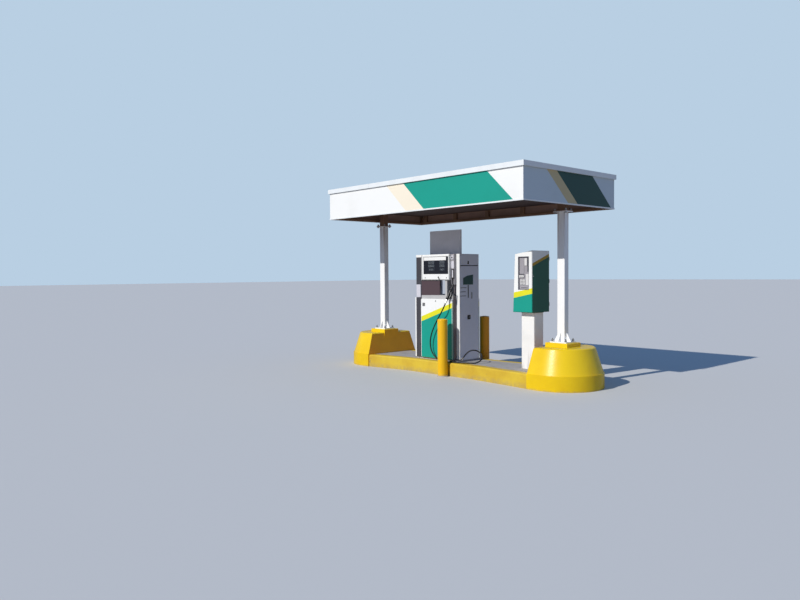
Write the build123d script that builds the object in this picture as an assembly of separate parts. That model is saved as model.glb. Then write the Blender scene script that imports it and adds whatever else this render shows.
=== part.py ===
from build123d import *
import os
from math import acos, cos, degrees, pi, radians, sin, tan

# Filling station canopy on two columns, with the kerbed pump island under it.
# Millimetres, +Z up. X runs along the long front fascia, the customer side faces -Y,
# and the origin is on the ground midway between the two columns.

os.makedirs("parts", exist_ok=True)

# General
GAP = 0.3                 # air left between neighbouring pieces
WELD = 0.5                # how far a welded on piece sinks into its neighbour

# Canopy box
CANOPY_L = 4500.0         # over the fascias, along X
CANOPY_W = 2380.0         # over the fascias, along Y
CLEARANCE = 2780.0        # ground to the underside of the fascias
FASCIA_H = 547.0
FASCIA_T = 3.0
FASCIA_RETURN = 40.0
CAP_DROP = 72.0           # how far the cap hangs down over the fascia
CAP_OUT = 25.0            # how far the cap stands out past the fascia
CAP_IN = 62.0             # how far it reaches inwards over the frame
CAP_T = 3.0

# Edge frame behind the fascias
RAIL = 40.0
MID_RAIL = 70.0
POST_W = 80.0
POST_COUNT = 6
POST_Y_SHARE = 0.27       # of the frame's width, each side of the middle

# Roof
SOFFIT_UP = 167.0         # soffit above the underside of the fascias
SOFFIT_T = 6.0
CROSS_H = 100.0
CROSS_W = 100.0
PURLIN_H = 80.0
PURLIN_W = 60.0
TUBE_T = 5.0
RIB_PITCH = 200.0
RIB_H = 35.0
RIB_FOOT = 90.0
RIB_CREST = 50.0
ROOF_T = 2.0

# Columns
COLUMN_IN = 165.0         # its middle, from the end of the canopy
COLUMN_A = 135.0          # along X
COLUMN_B = 112.0          # along Y
COLUMN_T = 6.0
COLUMN_R = 12.0
FLANGE_DROP = 90.0        # flanged joint below the underside of the fascias
FLANGE_A = 240.0
FLANGE_B = 180.0
FLANGE_T = 12.0
FLANGE_BOLT_IN = 24.0
FOOT_A = 300.0
FOOT_B = 260.0
FOOT_T = 15.0
FOOT_BOLT_IN = 32.0
PLATE_R = 6.0
GUSSET_H = 130.0
GUSSET_T = 10.0
GUSSET_TOE = 12.0
GUSSET_BACK = 4.0
BOLT_D = 20.0
STUB_FIT = 2.0            # air round the stub where it passes the soffit

# Concrete plinths
PLINTH_R = 620.0
PLINTH_LEDGE = 12.0       # the taper starts this far inside the skirt
PLINTH_TOP_R = 485.0
PLINTH_INNER = 225.0      # flat face, measured from the column line
PLINTH_TOP_INNER = 190.0
PLINTH_EDGE = 14.0
SKIRT_H = 235.0
PLINTH_H = 620.0
PAD_A = 400.0
PAD_B = 360.0
PAD_H = 60.0
PAD_EDGE = 8.0

# Island
KERB_H = 225.0
KERB_W = 150.0
KERB_CHAMFER = 22.0
KERB_SHELF = 109.4        # kerb's front face to the dispenser's front
KERB_IN = 20.0            # how far its ends stay inside the plinth's width
WAIST_LEFT = -930.0
WAIST_RIGHT = 640.0

# Dispenser, from its right hand side
D_RIGHT = 160.0
RISER_W = 75.0
BODY_W = 775.0
SIDE_W = 150.0
D_BASE_H = 30.0
D_BASE_IN = 10.0
CABINET_H = 1113.7
WINDOW_H = 270.0          # open gap between the cabinet and the head
HEAD_H = 451.0
BODY_HALF = 350.0         # half depth over the lift off panels
PANEL_T = 20.0
PANEL_EDGE = 5.0
PANEL_R = 8.0
PANEL_MARGIN = 6.0
PANEL_DROP = 64.0         # top edge below the cabinet's top
PANEL_FOOT = 8.0
SIDE_BACK = 30.0          # its front face behind the panels
SIDE_R = 10.0
SIDE_POST_A = 45.0        # corner post that is left beside the window, along X
SIDE_POST_B = 30.0
RISER_BACK = 115.0        # and the riser's
STRIP_T = 12.0            # white strip down the front of the riser
STRIP_FOOT = 15.0         # its lower end above the base frame
HEAD_W = 694.0
HEAD_R = 12.0
NECK_W = 456.0
NECK_T = 16.0
NECK_PLATE = 8.0
NECK_BAR_W = 45.0
NECK_BAR_D = 30.0
NECK_BAR_IN = 72.0
LAMP_W = 110.0
LAMP_H = 230.0
LAMP_OUT = 14.0
LAMP_DROP = 530.0
DISPLAY_SIDE = 30.0
DISPLAY_RIGHT = 3.0
DISPLAY_LOW = 8.0
DISPLAY_HIGH = 12.0
DISPLAY_DEEP = 25.0
DISPLAY_OUT = 8.0
GLASS_LEFT = 40.0
GLASS_RIGHT = 14.0
GLASS_LOW = 98.0
GLASS_HIGH = 26.0
BOOT_H = 530.0
BOOT_T = 65.0             # how far it stands out in front of the riser
BOOT_WALL = 12.0
BOOT_DEEP = 160.0

# Nozzle
SWIVEL_D = 34.0
SWIVEL_L = 36.0
BODY_D = 54.0
BODY_L = 150.0
SHOULDER = 20.0
SPOUT_D = 24.0
SPOUT_L = 150.0
GUARD_W = 18.0
GUARD_BAR = 11.0
GUARD_OUT = 68.0
GUARD_L = 140.0
NOZZLE_DROP = 288.0       # its lower end below the boot
NOZZLE_FRONT = 125.0      # and in front of it
NOZZLE_SIDE = 75.0        # and left of the strip
NOZZLE_LEAN_X = 45.0
NOZZLE_LEAN_Y = 150.0
NOZZLE_LEAN_Z = 330.0

# Board on top of the dispenser
BOARD_W = 755.0
BOARD_H = 427.0
BOARD_T = 30.0
BOARD_UP = 8.0
BOARD_IN = 56.0
LEG_W = 40.0
LEG_T = 24.0
LEG_IN = 140.0

# Payment terminal
T_X = 1510.0              # middle of its post
T_POST_W = 250.0
T_POST_D = 244.0
T_POST_H = 904.4
T_POST_R = 12.0
T_LEFT = 215.0            # head, left and right of the post's middle
T_RIGHT = 160.0
T_HEAD_H = 974.0
T_SLANT = 38.0
T_FALL = 52.0
T_HALF = 225.0
T_EDGE = 8.0
T_WIN_LEFT = 110.0
T_WIN_RIGHT = 64.0
T_WIN_LOW = 362.0
T_WIN_HIGH = 98.0
T_RECESS = 40.0
T_PANEL = 12.0

# Bollards
BOLLARD_D = 170.0
BOLLARD_H = 985.0
BOLLARD_X = 35.0
BOLLARD_EDGE = 10.0
BOLLARD_DOME = 8.0

# Hose, and the elbow that it leaves the dispenser by
HOSE_D = 22.0
ELBOW_D = 36.0
ELBOW_OUT = 16.0
ELBOW_IN = 20.0           # from the riser's front corner
ELBOW_UP = 37.0           # above the island
ELBOW_LIFT = 53.13        # degrees above level
ELBOW_REACH = 28.0
HOSE_FIRST = 90.0
HOSE_LAST = 128.0

# Heights and places that follow from the sizes above
COLUMN_X = CANOPY_L / 2 - COLUMN_IN
FASCIA_TOP = CLEARANCE + FASCIA_H
CAP_BOTTOM = FASCIA_TOP - CAP_DROP
CAP_TOP = FASCIA_TOP + GAP + CAP_T
SOFFIT_Z = CLEARANCE + SOFFIT_UP
FRAME_L = CANOPY_L / 2 - FASCIA_T - GAP
FRAME_W = CANOPY_W / 2 - FASCIA_T - GAP
LOW_Z = CLEARANCE + FASCIA_T + GAP
HIGH_Z = FASCIA_TOP - FASCIA_T - GAP
BEAM_Z = SOFFIT_Z + SOFFIT_T + GAP
PURLIN_Z = BEAM_Z + CROSS_H + GAP
ROOF_Z = PURLIN_Z + PURLIN_H + GAP
FLANGE_Z = CLEARANCE - FLANGE_DROP
COLUMN_Z = PLINTH_H + PAD_H + GAP
POST_X = [COLUMN_X * (2 * i / (POST_COUNT - 1) - 1) for i in range(POST_COUNT)]
POST_Y = [2 * FRAME_W * POST_Y_SHARE * i for i in (-1, 0, 1)]
DECK = KERB_H + GAP
BODY_RIGHT = D_RIGHT - RISER_W
BODY_LEFT = BODY_RIGHT - BODY_W
D_LEFT = BODY_LEFT - SIDE_W
BASE_TOP = DECK + D_BASE_H
ABOVE = BASE_TOP + GAP
CABINET_TOP = ABOVE + CABINET_H
HEAD_Z = CABINET_TOP + WINDOW_H
D_TOP = HEAD_Z + HEAD_H
CABINET_HALF = BODY_HALF - PANEL_T - GAP
SIDE_HALF = BODY_HALF - SIDE_BACK
RISER_HALF = BODY_HALF - RISER_BACK
HEAD_LEFT = BODY_LEFT + SIDE_R
HEAD_RIGHT = HEAD_LEFT + HEAD_W
BOOT_LEFT = HEAD_RIGHT + GAP
BOOT_HALF = RISER_HALF + GAP + BOOT_T
STRIP_LEFT = BODY_RIGHT + GAP
BOOT_Z = D_TOP - BOOT_H
KERB_MID_Y = BODY_HALF + KERB_SHELF
KERB_END_Y = PLINTH_R - KERB_IN
BOLLARD_Y = KERB_MID_Y + GAP + BOLLARD_D / 2


def block(x0, x1, y0, y1, z0, z1):
    return Pos((x0 + x1) / 2, (y0 + y1) / 2, (z0 + z1) / 2) * Box(x1 - x0, y1 - y0, z1 - z0)


def upright(shape_2d, z0, height):
    return Pos(0, 0, z0) * extrude(shape_2d, height)


def rect_tube(a, b, length, wall, corner):
    """A rectangular tube standing on the origin, a along X and b along Y."""
    outer = RectangleRounded(a, b, corner)
    inner = Rectangle(a - 2 * wall, b - 2 * wall)
    return extrude(outer - inner, length)


def along_x(half, y, z, w, h, wall):
    """A hollow section lying along X, its lower face at z."""
    inner = block(-half, half, y - w / 2 + wall, y + w / 2 - wall, z + wall, z + h - wall)
    return block(-half, half, y - w / 2, y + w / 2, z, z + h) - inner


def along_y(x, half, z, w, h, wall):
    """A hollow section lying along Y, its lower face at z."""
    inner = block(x - w / 2 + wall, x + w / 2 - wall, -half, half, z + wall, z + h - wall)
    return block(x - w / 2, x + w / 2, -half, half, z, z + h) - inner


def mirror_x(shape):
    return mirror(shape, Plane.YZ)


def mirror_y(shape):
    return mirror(shape, Plane.XZ)


def save(shape, node):
    shape.label = node
    export_step(shape, "parts/" + node + ".step")
    print(node, round(shape.volume / 1e6, 2), "litres")


# One side of the canopy edge, as a section swept along the side and mitred at both ends.
# The section is drawn in (inwards, up), with 0 at the outer face of the fascia.
def edge_piece(section, side, reach_out, reach_in):
    half_l, half_w = CANOPY_L / 2, CANOPY_W / 2
    run = {"front": half_l, "back": half_l, "left": half_w, "right": half_w}[side] + reach_out
    away = half_w if side in ("front", "back") else half_l
    face = make_face(Polyline(*section, close=True))
    solid = Plane((-run, -away, 0), x_dir=(0, 1, 0), z_dir=(1, 0, 0)) * extrude(face, 2 * run)
    width = reach_out + reach_in
    outline = [
        (-run + GAP, -away - reach_out),
        (run - GAP, -away - reach_out),
        (run - width - GAP, -away + reach_in),
        (-run + width + GAP, -away + reach_in),
    ]
    solid = solid & upright(make_face(Polyline(*outline, close=True)), CLEARANCE / 2, CLEARANCE)
    turn = {"front": 0, "right": 90, "back": 180, "left": 270}[side]
    return Rot(0, 0, turn) * solid


# Fascia cassettes: a web with a return at the bottom and at the top
fascia_section = [
    (0, CLEARANCE),
    (FASCIA_RETURN, CLEARANCE),
    (FASCIA_RETURN, CLEARANCE + FASCIA_T),
    (FASCIA_T, CLEARANCE + FASCIA_T),
    (FASCIA_T, FASCIA_TOP - FASCIA_T),
    (FASCIA_RETURN, FASCIA_TOP - FASCIA_T),
    (FASCIA_RETURN, FASCIA_TOP),
    (0, FASCIA_TOP),
]
# Cap trims: a folded channel over the top edge, with a small soffit under its outer leg
cap_section = [
    (-CAP_OUT, CAP_BOTTOM),
    (-GAP, CAP_BOTTOM),
    (-GAP, CAP_BOTTOM + CAP_T),
    (-CAP_OUT + CAP_T, CAP_BOTTOM + CAP_T),
    (-CAP_OUT + CAP_T, CAP_TOP - CAP_T),
    (CAP_IN - CAP_T, CAP_TOP - CAP_T),
    (CAP_IN - CAP_T, CAP_BOTTOM),
    (CAP_IN, CAP_BOTTOM),
    (CAP_IN, CAP_TOP),
    (-CAP_OUT, CAP_TOP),
]
for side in ("front", "back", "left", "right"):
    save(edge_piece(fascia_section, side, 0, FASCIA_RETURN), "fascia_" + side)
    save(edge_piece(cap_section, side, CAP_OUT, CAP_IN), "cap_" + side)


# Edge frame: three rails round the box and posts between them, welded into one
def ring(depth, z0):
    inside = block(-FRAME_L + depth, FRAME_L - depth, -FRAME_W + depth, FRAME_W - depth, z0, z0 + RAIL)
    return block(-FRAME_L, FRAME_L, -FRAME_W, FRAME_W, z0, z0 + RAIL) - inside


edge_frame = ring(RAIL, LOW_Z) + ring(MID_RAIL, BEAM_Z) + ring(RAIL, HIGH_Z - RAIL)
for sy in (-1, 1):
    y0, y1 = sorted((sy * FRAME_W, sy * (FRAME_W - RAIL)))
    for x in (-FRAME_L + RAIL / 2, FRAME_L - RAIL / 2):
        edge_frame += block(x - RAIL / 2, x + RAIL / 2, y0, y1, LOW_Z, HIGH_Z)
    for x in POST_X:
        edge_frame += block(x - POST_W / 2, x + POST_W / 2, y0, y1, LOW_Z, HIGH_Z)
for sx in (-1, 1):
    x0, x1 = sorted((sx * FRAME_L, sx * (FRAME_L - RAIL)))
    for y in POST_Y:
        edge_frame += block(x0, x1, y - POST_W / 2, y + POST_W / 2, BEAM_Z, HIGH_Z)
save(edge_frame, "edge_frame")

# Transverse beams on the column heads, and purlins over them
for node, x in (("cross_beam_left", -COLUMN_X), ("cross_beam_right", COLUMN_X)):
    save(along_y(x, FRAME_W - MID_RAIL - GAP, BEAM_Z, CROSS_W, CROSS_H, TUBE_T), node)
for node, y in zip(("purlin_front", "purlin_middle", "purlin_back"), POST_Y):
    save(along_x(FRAME_L - RAIL - GAP, y, PURLIN_Z, PURLIN_W, PURLIN_H, TUBE_T), node)

# Roof: trapezoidal sheet with its ribs across the canopy
roof_l = FRAME_L - RAIL - GAP
roof_w = FRAME_W - RAIL - GAP
flank = (RIB_PITCH - RIB_FOOT - RIB_CREST) / 2
ribs = int((2 * roof_l - RIB_FOOT) // RIB_PITCH)
upper = [(-roof_l, ROOF_T)]
lower = [(-roof_l, 0)]
for i in range(ribs):
    x = (i - ribs / 2) * RIB_PITCH + RIB_FOOT / 2
    for dx, dz, side in ((0, 0, -1), (flank, RIB_H, -1), (flank + RIB_CREST, RIB_H, 1), (2 * flank + RIB_CREST, 0, 1)):
        upper.append((x + dx, dz + ROOF_T))
        lower.append((x + dx - side * ROOF_T / 2, dz))
upper.append((roof_l, ROOF_T))
lower.append((roof_l, 0))
sheet = make_face(Polyline(*upper, *lower[::-1], close=True))
save(Plane((0, roof_w, ROOF_Z), x_dir=(1, 0, 0), z_dir=(0, -1, 0)) * extrude(sheet, 2 * roof_w), "roof_sheet")

# Soffit board, cut round the two stubs
soffit = block(-roof_l, roof_l, -roof_w, roof_w, SOFFIT_Z, SOFFIT_Z + SOFFIT_T)
hole = Rectangle(COLUMN_A + 2 * STUB_FIT, COLUMN_B + 2 * STUB_FIT)
for s in (-1, 1):
    soffit -= Pos(s * COLUMN_X, 0, SOFFIT_Z - SOFFIT_T) * extrude(hole, 3 * SOFFIT_T)
save(soffit, "soffit_board")


# Columns: tube, foot plate, four gussets and head flange, welded into one
def plate(a, b, thickness, bolt_in):
    holes = GridLocations(a - 2 * bolt_in, b - 2 * bolt_in, 2, 2) * Circle(BOLT_D / 2)
    return extrude(RectangleRounded(a, b, PLATE_R) - holes, thickness)


def gusset(reach):
    """A right triangle with its sharp corners cut, standing along X from the tube's face."""
    outline = [
        (-WELD, -WELD),
        (reach, -WELD),
        (reach, GUSSET_TOE),
        (GUSSET_TOE, GUSSET_H),
        (-WELD, GUSSET_H),
    ]
    face = make_face(Polyline(*outline, close=True))
    return Plane((0, GUSSET_T / 2, 0), x_dir=(1, 0, 0), z_dir=(0, -1, 0)) * extrude(face, GUSSET_T)


column_h = FLANGE_Z - COLUMN_Z
flange = plate(FLANGE_A, FLANGE_B, FLANGE_T, FLANGE_BOLT_IN)
column = rect_tube(COLUMN_A, COLUMN_B, column_h, COLUMN_T, COLUMN_R)
column += plate(FOOT_A, FOOT_B, FOOT_T, FOOT_BOLT_IN) + Pos(0, 0, column_h - FLANGE_T) * flange
for angle, foot, tube in ((0, FOOT_A, COLUMN_A), (90, FOOT_B, COLUMN_B), (180, FOOT_A, COLUMN_A), (270, FOOT_B, COLUMN_B)):
    column += Rot(0, 0, angle) * Pos(tube / 2, 0, FOOT_T) * gusset((foot - tube) / 2 - GUSSET_BACK)
save(Pos(-COLUMN_X, 0, COLUMN_Z) * column, "column_left")
save(Pos(COLUMN_X, 0, COLUMN_Z) * column, "column_right")

# Stubs between the head flange and the transverse beam
stub_h = BEAM_Z - GAP - FLANGE_Z - GAP
stub = rect_tube(COLUMN_A, COLUMN_B, stub_h, COLUMN_T, COLUMN_R) + flange
stub += Pos(0, 0, stub_h - FLANGE_T) * extrude(RectangleRounded(COLUMN_A, COLUMN_B, COLUMN_R), FLANGE_T)
save(Pos(-COLUMN_X, 0, FLANGE_Z + GAP) * stub, "stub_left")
save(Pos(COLUMN_X, 0, FLANGE_Z + GAP) * stub, "stub_right")


# Plinths: a half round nose outwards, a flat face to the island, a vertical skirt and a taper
def nose(radius, inner):
    sides = Polyline((0, radius), (-inner, radius), (-inner, -radius), (0, -radius))
    return make_face(sides + ThreePointArc((0, -radius), (radius, 0), (0, radius)))


skirt = extrude(nose(PLINTH_R, PLINTH_INNER), SKIRT_H)
taper = loft(
    [
        Pos(0, 0, SKIRT_H - WELD) * nose(PLINTH_R - PLINTH_LEDGE, PLINTH_INNER - WELD),
        Pos(0, 0, PLINTH_H) * nose(PLINTH_TOP_R, PLINTH_TOP_INNER),
    ],
    ruled=True,
)
taper = chamfer(taper.faces().sort_by(Axis.Z)[-1].edges(), PLINTH_EDGE)
pad = Pos(0, 0, PLINTH_H - PAD_H / 2) * Box(PAD_A, PAD_B, PAD_H * 3)
pad = chamfer(pad.faces().sort_by(Axis.Z)[-1].edges(), PAD_EDGE)
plinth = Pos(COLUMN_X, 0, 0) * (skirt + taper + pad)
save(plinth, "plinth_right")
save(mirror_x(plinth), "plinth_left")

# Kerb: stones along a line that is waisted beside the dispenser, chamfered at the top edge
kerb_x = COLUMN_X - PLINTH_INNER - GAP
joints = [-kerb_x, WAIST_LEFT, (WAIST_LEFT + WAIST_RIGHT) / 2, WAIST_RIGHT, (WAIST_RIGHT + kerb_x) / 2, kerb_x]


def kerb_line(x):
    """The front face of the kerb at this x."""
    if x < WAIST_LEFT:
        share = (WAIST_LEFT - x) / (WAIST_LEFT + kerb_x)
    else:
        share = max(0, x - WAIST_RIGHT) / (kerb_x - WAIST_RIGHT)
    return -KERB_MID_Y - share * (KERB_END_Y - KERB_MID_Y)


def kerb_section(x, side):
    y = kerb_line(x)
    corners = [(y, 0), (y, KERB_H - KERB_CHAMFER), (y + KERB_CHAMFER, KERB_H), (y + KERB_W, KERB_H), (y + KERB_W, 0)]
    return make_face(Polyline(*[(x, -side * y, z) for y, z in corners], close=True))


for node, side in (("kerb_front", -1), ("kerb_back", 1)):
    stones = [
        loft([kerb_section(a + GAP / 2, side), kerb_section(b - GAP / 2, side)], ruled=True)
        for a, b in zip(joints, joints[1:])
    ]
    save(Compound(children=stones), node)

edge = [(x, kerb_line(x) + KERB_W + GAP) for x in (-kerb_x, WAIST_LEFT, WAIST_RIGHT, kerb_x)]
save(upright(make_face(Polyline(*edge, *[(x, -y) for x, y in edge[::-1]], close=True)), 0, KERB_H), "island_slab")

# Dispenser: base frame, cabinet with lift off panels, two side columns, neck and head
base = block(D_LEFT + D_BASE_IN, D_RIGHT - D_BASE_IN, -SIDE_HALF + D_BASE_IN, SIDE_HALF - D_BASE_IN, DECK, BASE_TOP)
save(base, "dispenser_base")
save(block(BODY_LEFT, BODY_RIGHT, -CABINET_HALF, CABINET_HALF, ABOVE, CABINET_TOP), "dispenser_cabinet")

panel = block(
    BODY_LEFT + PANEL_MARGIN,
    BODY_RIGHT - PANEL_MARGIN,
    -BODY_HALF,
    -BODY_HALF + PANEL_T,
    ABOVE + PANEL_FOOT,
    CABINET_TOP - PANEL_DROP,
)
panel = fillet(panel.edges().filter_by(Axis.Y), PANEL_R)
panel = chamfer(panel.faces().sort_by(Axis.Y)[0].edges(), PANEL_EDGE)
save(panel, "cabinet_panel_front")
save(mirror_y(panel), "cabinet_panel_back")

left_side = block(D_LEFT, BODY_LEFT - GAP, -SIDE_HALF, SIDE_HALF, ABOVE, D_TOP)
left_side = fillet(left_side.edges().filter_by(Axis.Z), SIDE_R)
lamp_x = (D_LEFT + BODY_LEFT) / 2
lamp_top = D_TOP - LAMP_DROP
left_side += block(
    lamp_x - LAMP_W / 2,
    lamp_x + LAMP_W / 2,
    -SIDE_HALF - LAMP_OUT,
    0,
    lamp_top - LAMP_H,
    lamp_top,
)
side_gap = block(D_LEFT, BODY_LEFT, 0, SIDE_HALF, CABINET_TOP + GAP, HEAD_Z - GAP)
side_gap -= block(D_LEFT, D_LEFT + SIDE_POST_A, SIDE_HALF - SIDE_POST_B, SIDE_HALF, CABINET_TOP, HEAD_Z)
left_side -= side_gap
save(left_side, "dispenser_side_left")

riser = block(BODY_RIGHT + GAP, D_RIGHT, -RISER_HALF, RISER_HALF, ABOVE, D_TOP)
riser += block(BOOT_LEFT, D_RIGHT, -RISER_HALF, RISER_HALF, CABINET_TOP + GAP, D_TOP)
elbow = Vector(D_RIGHT + ELBOW_OUT, -RISER_HALF + ELBOW_IN, DECK + ELBOW_UP)
lift = Vector(cos(radians(ELBOW_LIFT)), 0, sin(radians(ELBOW_LIFT)))
riser += Pos(elbow) * Sphere(ELBOW_D / 2)
riser += Plane(elbow, z_dir=lift) * extrude(Circle(ELBOW_D / 2), ELBOW_REACH)
riser += Plane(elbow, z_dir=(-1, 0, 0)) * extrude(Circle(ELBOW_D / 2), ELBOW_OUT + WELD)
save(riser, "dispenser_side_right")

neck_right = BODY_LEFT + GAP + NECK_W
bar_right = HEAD_RIGHT - NECK_BAR_IN
neck_z0, neck_z1 = CABINET_TOP + GAP, HEAD_Z - GAP
neck = block(BODY_LEFT + GAP, bar_right, -CABINET_HALF, CABINET_HALF, neck_z0, neck_z0 + NECK_PLATE)
for s in (-1, 1):
    for x0, x1, depth in ((BODY_LEFT + GAP, neck_right, NECK_T), (bar_right - NECK_BAR_W, bar_right, NECK_BAR_D)):
        y0, y1 = sorted((s * CABINET_HALF, s * (CABINET_HALF - depth)))
        neck += block(x0, x1, y0, y1, neck_z0, neck_z1)
save(neck, "neck_panel")

head = block(HEAD_LEFT, HEAD_RIGHT, -BODY_HALF, BODY_HALF, HEAD_Z, D_TOP)
head = fillet(head.edges().filter_by(Axis.Z), HEAD_R)
show_x0, show_x1 = HEAD_LEFT + DISPLAY_SIDE, HEAD_RIGHT - DISPLAY_RIGHT
show_z0, show_z1 = HEAD_Z + DISPLAY_LOW, D_TOP - DISPLAY_HIGH
pocket = block(show_x0, show_x1, -BODY_HALF - DISPLAY_OUT, -BODY_HALF + DISPLAY_DEEP, show_z0, show_z1)
save(head - pocket - mirror_y(pocket), "dispenser_head")

display = block(
    show_x0 + GAP,
    show_x1 - GAP,
    -BODY_HALF - DISPLAY_OUT,
    -BODY_HALF + DISPLAY_DEEP - GAP,
    show_z0 + GAP,
    show_z1 - GAP,
)
display = chamfer(display.faces().sort_by(Axis.Y)[0].edges(), PANEL_EDGE)
display -= block(
    show_x0 + GLASS_LEFT,
    show_x1 - GLASS_RIGHT,
    -BODY_HALF - 2 * DISPLAY_OUT,
    -BODY_HALF,
    show_z0 + GLASS_LOW,
    show_z1 - GLASS_HIGH,
)
save(display, "display_front")
save(mirror_y(display), "display_back")

strip = block(STRIP_LEFT, D_RIGHT, -RISER_HALF - GAP - STRIP_T, -RISER_HALF - GAP, ABOVE + STRIP_FOOT, D_TOP)
save(Compound(children=[strip, Rot(0, 0, 180) * Pos(-STRIP_LEFT - D_RIGHT, 0, 0) * strip]), "riser_strips")

boot = block(BOOT_LEFT, STRIP_LEFT - GAP, -BOOT_HALF, -RISER_HALF - GAP, BOOT_Z, D_TOP)
boot = fillet(boot.faces().sort_by(Axis.Y)[0].edges(), PANEL_R)
boot -= block(
    BOOT_LEFT + BOOT_WALL,
    STRIP_LEFT - GAP - BOOT_WALL,
    -BOOT_HALF - BOOT_WALL,
    -RISER_HALF - BOOT_WALL,
    BOOT_Z - BOOT_WALL,
    BOOT_Z + BOOT_DEEP,
)
save(boot, "nozzle_boot")

# Nozzle: swivel, body, guard and spout along one axis that leans into the boot
nozzle_low = Vector(STRIP_LEFT - NOZZLE_SIDE, -BOOT_HALF - NOZZLE_FRONT, BOOT_Z - NOZZLE_DROP)
nozzle_dir = Vector(NOZZLE_LEAN_X, NOZZLE_LEAN_Y, NOZZLE_LEAN_Z).normalized()
profile = [(0, 0), (SWIVEL_D / 2, 0), (SWIVEL_D / 2, SWIVEL_L)]
for radius, length in ((BODY_D / 2, SHOULDER), (BODY_D / 2, BODY_L), (SPOUT_D / 2, SHOULDER), (SPOUT_D / 2, SPOUT_L)):
    profile.append((radius, profile[-1][1] + length))
profile.append((0, profile[-1][1]))
nozzle = revolve(Plane.XZ * make_face(Polyline(*profile, close=True)), Axis.Z)
guard_z = SWIVEL_L + SHOULDER
guard = block(BODY_D / 4, GUARD_OUT, -GUARD_W / 2, GUARD_W / 2, guard_z, guard_z + GUARD_L)
guard -= block(0, GUARD_OUT - GUARD_BAR, -GUARD_W, GUARD_W, guard_z + GUARD_BAR, guard_z + GUARD_L - GUARD_BAR)
nozzle_plane = Plane(nozzle_low, x_dir=(1, 0, 0), z_dir=nozzle_dir)
save(nozzle_plane * (nozzle + guard), "nozzle")

# Board on two legs over the dispenser
board_x0 = D_LEFT + BOARD_IN
board_z = D_TOP + BOARD_UP
board = block(board_x0, board_x0 + BOARD_W, -BOARD_T / 2, BOARD_T / 2, board_z, board_z + BOARD_H)
for x in (board_x0 + LEG_IN, board_x0 + BOARD_W - LEG_IN):
    board += block(x - LEG_W / 2, x + LEG_W / 2, -LEG_T / 2, LEG_T / 2, D_TOP + GAP, board_z + WELD)
save(board, "topper_board")

# Payment terminal: post, leaning head with a recess, and the panel in it
post = upright(RectangleRounded(T_POST_W, T_POST_D, T_POST_R), DECK, T_POST_H)
save(Pos(T_X, 0, 0) * post, "terminal_post")

t_z = DECK + T_POST_H + GAP
t_x0, t_x1 = T_X - T_LEFT, T_X + T_RIGHT
corners = [
    (t_x0, t_z),
    (t_x1, t_z),
    (t_x1, t_z + T_HEAD_H),
    (t_x0 + T_SLANT, t_z + T_HEAD_H - T_FALL),
]
terminal = Plane((0, T_HALF, 0), x_dir=(1, 0, 0), z_dir=(0, -1, 0)) * extrude(
    make_face(Polyline(*corners, close=True)), 2 * T_HALF
)
terminal = chamfer(terminal.faces().sort_by(Axis.Y)[0].edges(), T_EDGE)
win_x0, win_x1 = t_x0 + T_WIN_LEFT, t_x1 - T_WIN_RIGHT
win_z0, win_z1 = t_z + T_WIN_LOW, t_z + T_HEAD_H - T_WIN_HIGH
terminal -= block(win_x0, win_x1, -T_HALF - T_EDGE, -T_HALF + T_RECESS, win_z0, win_z1)
save(terminal, "terminal_head")
keys_y = -T_HALF + T_RECESS - GAP
save(block(win_x0 + GAP, win_x1 - GAP, keys_y - T_PANEL, keys_y, win_z0 + GAP, win_z1 - GAP), "terminal_panel")

# Bollards: a filled tube with a low domed top
r = BOLLARD_D / 2
profile = [(0, 0), (r, 0), (r, BOLLARD_H - BOLLARD_DOME - BOLLARD_EDGE), (r - BOLLARD_EDGE, BOLLARD_H - BOLLARD_DOME)]
profile += [(r / 2, BOLLARD_H - BOLLARD_DOME / 4), (0, BOLLARD_H)]
bollard = revolve(Plane.XZ * make_face(Polyline(*profile, close=True)), Axis.Z)
save(Pos(BOLLARD_X, -BOLLARD_Y, 0) * bollard, "bollard_front")
save(Pos(BOLLARD_X, BOLLARD_Y, 0) * bollard, "bollard_back")

# Hose: straight runs joined by tangent arcs through points chosen by hand
hose_start = elbow + lift * (ELBOW_REACH + GAP)
hose_end = nozzle_low - nozzle_dir * GAP
hose_points = [
    tuple(hose_start),
    tuple(hose_start + lift * HOSE_FIRST),
    (336, -180, 439),
    (411, -84, 438),
    (504, -63, 368),
    (549, -128, 280),
    (512, -231, 236.5),
    (425, -290, 236.5),
    (280, -366, 236.5),
    (80, -405, 236.5),
    (-110, -405, 237),
    (-272, -405, 300),
    (-370, -405, 450),
    (-370, -406, 630),
    (-290, -412, 810),
    (-165, -430, 985),
    tuple(hose_end - nozzle_dir * HOSE_LAST),
    tuple(hose_end),
]
radii = []
for a, b, c in zip(hose_points, hose_points[1:], hose_points[2:]):
    run_in, run_out = Vector(*b) - Vector(*a), Vector(*c) - Vector(*b)
    turn = acos(max(-1, min(1, run_in.normalized().dot(run_out.normalized()))))
    radii.append(0.45 * min(run_in.length, run_out.length) / tan(turn / 2))
    print("hose turn", round(degrees(turn)), "runs", round(run_in.length), round(run_out.length), "radius", round(radii[-1]))
path = FilletPolyline(*hose_points, radius=radii)
hose = sweep(Plane(path @ 0, z_dir=path % 0) * Circle(HOSE_D / 2), path)
share = hose.volume / (path.length * pi * HOSE_D**2 / 4)
print("hose length", round(path.length), "volume over section times length", round(share, 4))
save(hose, "hose")
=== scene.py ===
# %% [markdown]
# The construction comes in as a fixed frame: every solid is where it belongs. This script
# gives each solid a finish, adds what is too fine for solids, and sets the camera and the
# light for the picture.

# %% Open the imported model
from math import cos, radians, sin

import bmesh
import bpy
from mathutils import Matrix, Vector


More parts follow.
